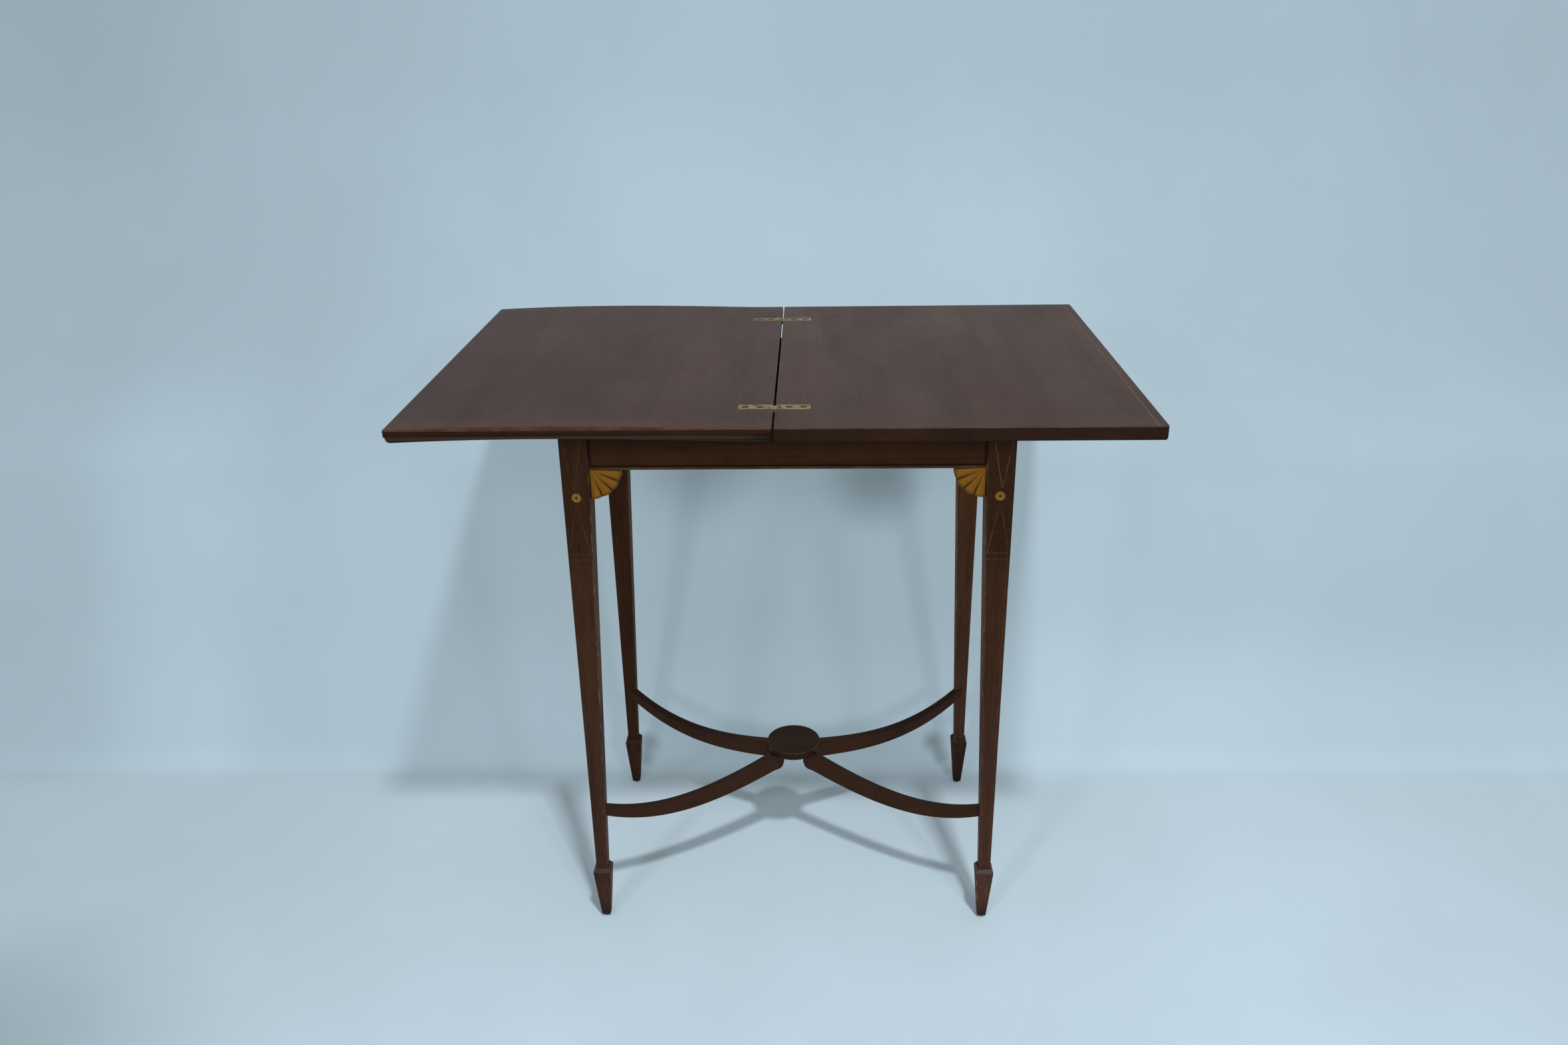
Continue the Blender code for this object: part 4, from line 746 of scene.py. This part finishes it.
satinwood, tree, shader, place = new_finish("satinwood", 0.40, 0.12)
parts = axes(tree, place)
out = gap(tree, parts["X"], base_middle)
across = calc(tree, "DIVIDE", calc(tree, "SUBTRACT", fan_corner_out, out), fan_width_share)
down = calc(tree, "SUBTRACT", fan_corner_height, parts["Z"])
angle = calc(tree, "ARCTAN2", down, across)
squares = calc(tree, "ADD", calc(tree, "POWER", across, 2.0), calc(tree, "POWER", down, 2.0))
radius = calc(tree, "SQRT", squares)
petal = times(tree, angle, fan_petals / fan_sweep)
within = calc(tree, "FRACT", petal)
apart = calc(tree, "SUBTRACT", 0.5, gap(tree, within, 0.5))
apart = times(tree, apart, times(tree, radius, fan_sweep / fan_petals))
polar = add(tree, "CombineXYZ", {0: radius, 1: times(tree, angle, 0.03), 2: petal}).outputs[0]
fibre = noise(tree, polar, (40, 900, 3), 3.0, 0.6)
cloud = noise(tree, polar, (70, 90, 3), 2.0)
tone = mix(tree, fade(tree, fibre, 0.20, 0.80), (0.225, 0.096, 0.006, 1), (0.385, 0.180, 0.012, 1))
tone = mix(tree, times(tree, cloud, 0.45), tone, (0.180, 0.070, 0.005, 1))
tone = mix(tree, fade(tree, within, 0.35, 1.0, 0.0, 0.45), tone, (0.110, 0.045, 0.006, 1))
scorch_width = calc(tree, "MULTIPLY_ADD", fade(tree, radius, 0.008, 0.036), 0.0014, 0.00015)
scorch = calc(tree, "SUBTRACT", 1.0, calc(tree, "DIVIDE", apart, scorch_width), clamp=True)
scorch = times(tree, fade(tree, scorch, 0.0, 0.55), fade(tree, radius, 0.003, 0.010))
tone = mix(tree, times(tree, scorch, 0.92), tone, (0.020, 0.009, 0.004, 1))
# Painted shade: a darker band just inside the edge, where the petals round back.
rim = fade(tree, radius, fan_radius - 0.0045, fan_radius - 0.0015)
tone = mix(tree, times(tree, rim, 0.6), tone, (0.060, 0.035, 0.010, 1))
tree.links.new(tone, shader.inputs["Base Color"])
tree.links.new(calc(tree, "MULTIPLY_ADD", cloud, 0.2, 0.32), shader.inputs["Roughness"])
relief(tree, shader, calc(tree, "SUBTRACT", times(tree, fibre, 0.3), scorch), 0.5, 0.0004)

for fan_name, side in (("left", -1), ("right", 1)):
    rows = fan_rows()
    shape = rows.copy()
    shape[..., 0] = base_middle + side * (fan_corner_out - rows[..., 0])
    shape[..., 1] = rows[..., 1] - rail_face_y
    shape[..., 2] = fan_corner_height + rows[..., 2]
    fan = skin("fan_bracket_" + fan_name + "_petals", [shape], satinwood, sharp=40.0)
    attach(fan, "base")
    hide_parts("fan_bracket_" + fan_name)


# Roundels
# A disc of boxwood let into each front leg, with two scribed rings, a drilled dot in the middle and a
# thin dark outline of old polish.

roundel_leg_width = 0.0319
roundel_out = base_half_width - roundel_leg_width / 2
roundel_height = 0.6183
roundel_radius = 0.00585
boxwood, tree, shader, place = new_finish("boxwood", 0.42, 0.12)
parts = axes(tree, place)
out = gap(tree, parts["X"], base_middle)
from_middle = add(tree, "CombineXYZ", {
    0: calc(tree, "SUBTRACT", out, roundel_out),
    1: calc(tree, "SUBTRACT", parts["Z"], roundel_height),
}).outputs[0]
radius = calc_vector(tree, "LENGTH", {0: from_middle}, "Value")
fibre = noise(tree, place, (1400, 1400, 180), 3.0, 0.6)
cloud = noise(tree, place, (420, 420, 420), 2.0)
tone = mix(tree, fade(tree, fibre, 0.3, 0.7), (0.24, 0.125, 0.018, 1), (0.44, 0.255, 0.050, 1))
tone = mix(tree, times(tree, cloud, 0.4), tone, (0.22, 0.110, 0.016, 1))
for ring_radius, ring_half, ring_depth in ((0.0044, 0.0005, 0.38), (0.0030, 0.0003, 0.12)):
    off = gap(tree, radius, ring_radius)
    ring = fade(tree, off, ring_half * 0.4, ring_half * 1.8, ring_depth, 0.0)
    tone = mix(tree, ring, tone, (0.08, 0.038, 0.010, 1))
tone = mix(tree, fade(tree, radius, 0.0013, 0.0022, 0.96, 0.0), tone, (0.034, 0.013, 0.004, 1))
outline = fade(tree, radius, roundel_radius - 0.00045, roundel_radius - 0.00005, 0.0, 0.9)
tone = mix(tree, outline, tone, (0.018, 0.009, 0.005, 1))
tree.links.new(tone, shader.inputs["Base Color"])
relief(tree, shader, fibre, 0.3, 0.0002)

roundel_profile = np.array([
    (0.0, -0.00015), (0.0004, -0.00016), (0.0008, -0.00034), (0.0025, -0.00036), (0.0027, -0.00030),
    (0.0029, -0.00036), (0.0043, -0.00034), (0.0046, -0.00020), (0.0049, -0.00032), (0.0055, -0.00026),
    (roundel_radius, -0.00004), (roundel_radius, 0.0014), (0.0, 0.0014),
])
for roundel_name, side in (("left", -1), ("right", 1)):
    centre = (base_middle + side * roundel_out, -base_half_depth, roundel_height)
    roundel = skin("roundel_" + roundel_name + "_disc", [turned(roundel_profile, centre, 64, "Y")], boxwood)
    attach(roundel, "base")
    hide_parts("roundel_" + roundel_name)


# Stretcher arms
# Four sawn mahogany arms that sag from under the disc and rise to the legs, where a short tenon holds
# them. A fine dark line runs just below their upper edge, and painted shade darkens their top face.

arm_half = 0.0055
arm_arris = 0.0009
arm_start = 0.019
arm_seat = 0.034
arm_leg_height = 0.1725
arm_sag = 0.024
arm_lean = 0.25
arm_hub_depth = 0.026
arm_leg_depth = 0.015
arm_mean_depth = 0.018
disc_underside = 0.168
arm_top = disc_underside - joint_gap
arm_side_drop = 0.0022
arm_line_drop = 0.0024
arm_level = 0.165
arm_nose = 0.009
arm_leg_width = leg_ankle + leg_slope * (arm_level - foot_height)
arm_corner = np.array([base_half_width - arm_leg_width, base_half_depth - arm_leg_width])
arm_reach = float(np.hypot(*arm_corner))
arm_angle = math.atan2(arm_corner[1], arm_corner[0])


def arm_section(corner_steps=5):
    """The arm's section, from the middle of its underside once round, as side and height shares.

    Gives the side place, whether the point hangs on the upper or lower edge, and its offset from there.
    """
    quarter = np.linspace(0.0, np.pi / 2, corner_steps)
    inner = arm_half - arm_arris
    low_right = (inner + arm_arris * np.sin(quarter), arm_arris * (1.0 - np.cos(quarter)))
    high_right = (inner + arm_arris * np.cos(quarter), -arm_arris * (1.0 - np.sin(quarter)))
    side = np.concatenate([[0.0], low_right[0], [arm_half], high_right[0], [0.0]])
    lift = np.concatenate([[0.0], low_right[1], [-arm_side_drop], high_right[1], [0.0]])
    on_top = np.concatenate([[0], np.zeros(corner_steps), [1], np.ones(corner_steps), [1]])
    side = np.concatenate([side, -side[-2::-1]])
    lift = np.concatenate([lift, lift[-2::-1]])
    on_top = np.concatenate([on_top, on_top[-2::-1]])
    return side, lift, on_top


def arm_rows(stations=64):
    """The section carried along the arm, in the arm's own frame, with how far each point is along it.

    The upper edge is a straight line from the disc to the leg less a parabola that leans to the leg. The
    depth shrinks evenly. The nose is a quarter ellipse, and the far end stops at the leg's two faces.
    """
    side, lift, on_top = arm_section()
    near_x = (arm_corner[0] + side * math.sin(arm_angle)) / math.cos(arm_angle)
    near_y = (arm_corner[1] - side * math.cos(arm_angle)) / math.sin(arm_angle)
    stop = np.maximum(near_x, near_y) - joint_gap
    share = np.linspace(0.0, 1.0, stations) ** 1.15
    along = arm_start + (stop[None, :] - arm_start) * share[:, None]
    run = np.clip(along - arm_seat, 0.0, None) / (arm_reach - arm_seat)
    chord = arm_top + (arm_leg_height - arm_top) * run
    high = chord - 4.0 * arm_sag * run * (1.0 - run) * (1.0 + arm_lean * (2.0 * run - 1.0))
    depth = arm_hub_depth + (arm_leg_depth - arm_hub_depth) * run
    nose = np.clip(1.0 - (along - arm_start) / arm_nose, 0.0, 1.0)
    low = high - depth + arm_nose * (1.0 - np.sqrt(1.0 - nose ** 2))
    height = np.where(on_top[None, :] > 0.5, high, low) + lift[None, :]
    across = np.broadcast_to(side[None, :], along.shape)
    rows = np.stack([along, across, height], axis=-1)
    level = np.where(on_top > 0.5, arm_mean_depth, 0.0) + lift
    around = np.concatenate([[0.0], np.cumsum(np.hypot(np.diff(side), np.diff(level)))])
    spread = np.stack([along, np.broadcast_to(around[None, :], along.shape)], axis=-1)
    return rows, spread, high - height


arm_wood, tree, shader, place, tone = mahogany(
    "arm_mahogany", "X", (0.016, 0.0060, 0.0030), (0.056, 0.022, 0.010), 0.12, contrast=2.4, roughness=0.42,
    place=lambda tree: add(tree, "UVMap", uv_map="surface").outputs[0],
)
drop = add(tree, "Attribute", attribute_name="arris").outputs["Fac"]
line = fade(tree, gap(tree, drop, arm_line_drop), 0.0002, 0.0006, 0.75, 0.0)
# Painted shade: the top face and upper arris are made darker.
tone = mix(tree, fade(tree, drop, 0.0, 0.0010, 0.55, 0.0), tone, (0.018, 0.008, 0.005, 1))
tone = mix(tree, line, tone, (0.012, 0.005, 0.003, 1))
tree.links.new(tone, shader.inputs["Base Color"])

for arm_name, side, end in table_corners:
    rows, spread, drops = arm_rows()
    shape = rows.copy()
    along_x = rows[..., 0] * math.cos(arm_angle) - rows[..., 1] * math.sin(arm_angle)
    along_y = rows[..., 0] * math.sin(arm_angle) + rows[..., 1] * math.cos(arm_angle)
    shape[..., 0] = base_middle + side * along_x
    shape[..., 1] = end * along_y
    grids = [shape]
    for row in (0, -1):
        middle = np.array([shape[row, 0], shape[row, len(shape[row]) // 2]])
        count = shape.shape[1] // 2 + 1
        right = shape[row, :count]
        left = shape[row, count - 1:][::-1]
        seam = np.linspace(middle[0], middle[1], count)
        grids += [np.stack([right, seam]), np.stack([left, seam])]
    spreads = [spread] + [np.zeros(grid.shape[:2] + (2,)) + 0.01 for grid in grids[1:]]
    drop_parts = [drops] + [np.full(grid.shape[:2], 0.01) for grid in grids[1:]]
    arm = skin("stretcher_arm_" + arm_name + "_wood", grids, arm_wood, uv=spreads, arris=drop_parts)
    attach(arm, "base")
    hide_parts("stretcher_arm_" + arm_name)


# Stretcher disc
# A round of mahogany turned on the lathe, with a rounded rim and a fine step, which lies on the four arms
# and is held from below by a countersunk screw through each.

disc_radius = 0.037
disc_top = 0.180
rim_turn = np.linspace(0.0, np.pi / 2, 9)
disc_round = 0.0026
disc_round_height = 0.0040
disc_arris = 0.0007
lower_rim = np.stack([
    disc_radius - disc_round + disc_round * np.sin(rim_turn),
    disc_underside + disc_round_height * (1.0 - np.cos(rim_turn)),
], axis=-1)
upper_rim = np.stack([
    disc_radius - disc_arris + disc_arris * np.cos(rim_turn),
    disc_top - disc_arris + disc_arris * np.sin(rim_turn),
], axis=-1)
disc_profile = np.concatenate([
    [(0.0, disc_underside), (0.020, disc_underside)], lower_rim, upper_rim,
    [(0.0325, disc_top), (0.0, disc_top)],
])
disc_wood, tree, shader, place, tone = mahogany(
    "disc_mahogany", "X", (0.010, 0.0040, 0.0022), (0.030, 0.0130, 0.0066), 0.14, contrast=2.4,
    roughness=0.42, shift=(0.2, 0.0, 0.3),
)
parts = axes(tree, place)
from_middle = add(tree, "CombineXYZ", {
    0: calc(tree, "SUBTRACT", parts["X"], base_middle), 1: parts["Y"],
}).outputs[0]
radius = calc_vector(tree, "LENGTH", {0: from_middle}, "Value")
rubbed = fade(tree, radius, disc_radius - 0.0012, disc_radius - 0.0004)
rubbed = times(tree, rubbed, fade(tree, parts["Z"], disc_top - 0.0020, disc_top - 0.0006))
tone = wear(tree, place, tone, (0.058, 0.032, 0.021, 1), low=0.35, high=0.75, mask=rubbed)
tree.links.new(tone, shader.inputs["Base Color"])
disc = skin("stretcher_disc_wood", [turned(disc_profile, (base_middle, 0.0, 0.0), 96)], disc_wood)
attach(disc, "base")
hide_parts("stretcher_disc")
for screw_name in ("front_left", "front_right", "back_left", "back_right"):
    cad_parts["stretcher_screw_" + screw_name].material_slots[0].material = old_iron


# Inside of the frame
# A flat bearer of softwood across the frame carries the turning top. Beside it a softwood partition and a
# thin floor make the well for the cards.

pine_woods = {}
for grain in ("X", "Y"):
    pine_wood, tree, shader, place, tone = mahogany(
        "pine_" + grain.lower(), grain, (0.25, 0.145, 0.068), (0.52, 0.36, 0.20), contrast=3.2, pores=0.15,
        roughness=0.62,
    )
    grime = fade(tree, noise(tree, place, (26, 26, 26), 4.0, 0.6), 0.50, 0.72)
    tone = mix(tree, times(tree, grime, 0.55), tone, (0.16, 0.095, 0.050, 1))
    tree.links.new(tone, shader.inputs["Base Color"])
    pine_woods[grain] = pine_wood
for pine_name, grain in (("pivot_bearer", "Y"), ("well_partition", "Y"), ("well_floor", "X")):
    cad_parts[pine_name].material_slots[0].material = pine_woods[grain]


# Pivot irons
# An iron plate let into the underside of the lower leaf, with a bolt, washer and nut through the bearer,
# and a mahogany peg that stops the turn.

for iron_name in ("pivot_washer", "pivot_plate", "pivot_bolt", "pivot_nut"):
    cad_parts[iron_name].material_slots[0].material = old_iron
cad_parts["stop_peg"].material_slots[0].material = rail_woods["X"]


# Leaves
# The lower leaf and the flap are mahogany boards with their grain from front to back, polished long ago
# and now hazy. The flap is slightly cupped and has a moulded edge that is uppermost when it is folded.
# Their colour carries painted light: a redder front where less reflection shows, painted shade on the
# edges, round the hinge plates and where the leaves meet, and a lighter band on the flap's moulding.

leaf_half_length = 0.273
leaf_outer = 0.4128
top_height = 0.740
edge_low = top_height - 0.0016
edge_high = top_height - 0.0006
mould_top = top_height - 0.0078
hinge_y = leaf_half_length - 0.074
hinge_half_width = 0.008
hinge_reach = 0.040
crossband_inset = 0.0105
leaf_gloss = 0.19
edge_gloss = 0.07

hazy_top, given, wanted = new_group("hazy_top", {
    "Vector": "Vector", "Tone": "Color", "Dark": "Color", "Line": "Float", "Red": "Float",
}, {"Color": "Color", "Arris": "Float", "Roughness": "Float"})
tree = hazy_top
parts = axes(tree, given["Vector"])
out = calc(tree, "ABSOLUTE", parts["X"])
cloud = noise(tree, given["Vector"], (9, 3.2, 9), 3.0, 0.55)
clouded = mix(tree, 1.0, given["Dark"], (0.90, 0.85, 0.85, 1), "MULTIPLY")
tone = mix(tree, fade(tree, cloud, 0.42, 0.66, 0.0, 0.45), given["Tone"], clouded)
outward = fade(tree, parts["X"], -leaf_outer, -0.15, 0.60, 0.0)
tone = mix(tree, outward, tone, mix(tree, 1.0, given["Dark"], (1.00, 0.98, 0.95, 1), "MULTIPLY"))
# Painted reflection: the boards are redder near the front edge, where less of the pale paper is reflected.
front_less_reflection = fade(tree, parts["Y"], -leaf_half_length, -leaf_half_length + 0.045, given["Red"], 0.0)
tone = mix(tree, front_less_reflection, tone, (0.075, 0.026, 0.012, 1))
upper = calc(tree, "GREATER_THAN", parts["Z"], top_height - 0.0005)
line = fade(tree, gap(tree, out, leaf_outer - crossband_inset), 0.0003, 0.0007, given["Line"], 0.0)
line = times(tree, times(tree, line, upper), fade(tree, cloud, 0.35, 0.6, 0.4, 1.0))
tone = mix(tree, line, tone, (0.24, 0.17, 0.11, 1))
# Painted shade: the edges below the top face are darkened.
below = fade(tree, parts["Z"], edge_low, edge_high, 1.0, 0.0)
tone = tint(tree, below, tone, (0.50, 0.52, 0.48))
# Painted light: a lighter grey band on the flap's moulding, as if it caught light from below.
mould_band_light = fade(tree, parts["Z"], top_height - 0.0128, top_height - 0.0112)
mould_band_light = times(tree, mould_band_light, fade(tree, parts["Z"], mould_top - 0.0004, mould_top, 1.0, 0.0))
mould_band_light = times(tree, mould_band_light, calc(tree, "LESS_THAN", parts["X"], 0.0))
tone = mix(tree, times(tree, mould_band_light, 0.8), tone, (0.052, 0.034, 0.026, 1))
# Painted shade: near-black in the gap round each hinge plate and on the faces at the joint between the
# leaves.
off_middle = calc(tree, "ABSOLUTE", parts["Y"])
past_side = calc(tree, "SUBTRACT", gap(tree, off_middle, hinge_y), hinge_half_width)
rim = calc(tree, "MAXIMUM", past_side, calc(tree, "SUBTRACT", out, hinge_reach))
rim = times(tree, fade(tree, rim, 0.0005, 0.0010, 0.85, 0.0), upper)
joint = calc(tree, "MAXIMUM", rim, fade(tree, out, 0.0012, 0.0022, 0.85, 0.0))
tree.links.new(mix(tree, joint, tone, (0.006, 0.003, 0.002, 1)), wanted["Color"])
nearest_x = calc(tree, "SUBTRACT", leaf_outer, out)
nearest_y = calc(tree, "SUBTRACT", leaf_half_length, off_middle)
nearest = calc(tree, "MINIMUM", nearest_x, nearest_y)
nearest = calc(tree, "MINIMUM", nearest, calc(tree, "SUBTRACT", out, 0.0018))
arris = fade(tree, nearest, 0.0, 0.0016, 1.0, 0.0)
arris = times(tree, arris, calc(tree, "GREATER_THAN", parts["Z"], top_height - 0.0012))
tree.links.new(arris, wanted["Arris"])
smear = noise(tree, given["Vector"], (14, 5, 14), 4.0, 0.6)
tree.links.new(calc(tree, "MULTIPLY_ADD", smear, 0.22, 0.30), wanted["Roughness"])


def leaf_finish(name, dark, light, shift, line_strength, red_left):
    """Hazy old mahogany with a crossband line, painted redder near the front edge where less reflection
    shows.
    """
    made, tree, shader, place, tone = mahogany(name, "Y", dark, light, leaf_gloss, pores=0.45, shift=shift)
    top = add(tree, "Group", {
        "Vector": place, "Tone": tone, "Dark": (*dark, 1), "Line": line_strength, "Red": red_left,
    }, node_tree=hazy_top).outputs
    tone = wear(
        tree, place, top["Color"], (0.080, 0.045, 0.032, 1), low=0.50, high=0.95, mask=top["Arris"],
        grain=(45, 45, 45),
    )
    tree.links.new(tone, shader.inputs["Base Color"])
    tree.links.new(top["Roughness"], shader.inputs["Roughness"])
    below = fade(tree, axes(tree, place)["Z"], edge_low, edge_high, 1.0, 0.0)
    gloss = calc(tree, "MULTIPLY_ADD", below, edge_gloss - leaf_gloss, leaf_gloss)
    tree.links.new(gloss, shader.inputs["Specular IOR Level"])
    return made


leaf_wood = leaf_finish(
    "leaf_mahogany", (0.024, 0.0100, 0.0068), (0.059, 0.0275, 0.0200), (0.0, 0.0, 0.0), 0.4, 0.18
)
flap_wood = leaf_finish(
    "flap_mahogany", (0.023, 0.0094, 0.0062), (0.056, 0.0255, 0.0180), (0.3, 0.7, 0.2), 0.0, 0.40
)


def smooth_copy(node, piece_name, finish, body):
    """A solid's own mesh with its loose triangles joined, and its small facets shaded as one curve."""
    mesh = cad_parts[node].data.copy()
    mesh.name = piece_name
    for layer in list(mesh.uv_layers):
        mesh.uv_layers.remove(layer)
    piece = smoothed(piece_name, mesh, finish, 35.0)
    weigh = piece.modifiers.new("weigh", "WEIGHTED_NORMAL")
    weigh.keep_sharp = True
    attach(piece, body)
    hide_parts(node)


smooth_copy("lower_leaf", "lower_leaf_board", leaf_wood, "lower_leaf")
smooth_copy("flap", "flap_board", flap_wood, "flap")


# Hinges
# Two flush brass hinges, let in at the joint. Each has a plate in either leaf and a link that turns on a pin
# in each plate, and each plate is held by two countersunk screws.

brass = metal("old_brass", (0.15, 0.105, 0.045), (0.33, 0.25, 0.12), 0.50, (0.085, 0.052, 0.028), 160.0, 0.55)
screw_brass = metal(
    "screw_brass", (0.034, 0.023, 0.012), (0.095, 0.066, 0.032), 0.55, (0.022, 0.013, 0.008), 500.0, 0.40
)
for end_name in ("front", "back"):
    for leaf_name in ("lower", "flap"):
        prefix = "hinge_" + end_name + "_" + leaf_name
        body = "lower_leaf" if leaf_name == "lower" else "flap"
        smooth_copy(prefix + "_plate", prefix + "_leaf", brass, body)
        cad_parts[prefix + "_pin"].material_slots[0].material = screw_brass
        for place_name in ("near", "far"):
            screw = prefix + "_" + place_name + "_screw"
            smooth_copy(screw, screw + "_head", screw_brass, body)
    smooth_copy("hinge_" + end_name + "_link", "hinge_" + end_name + "_bridge", brass, "hinge_links")
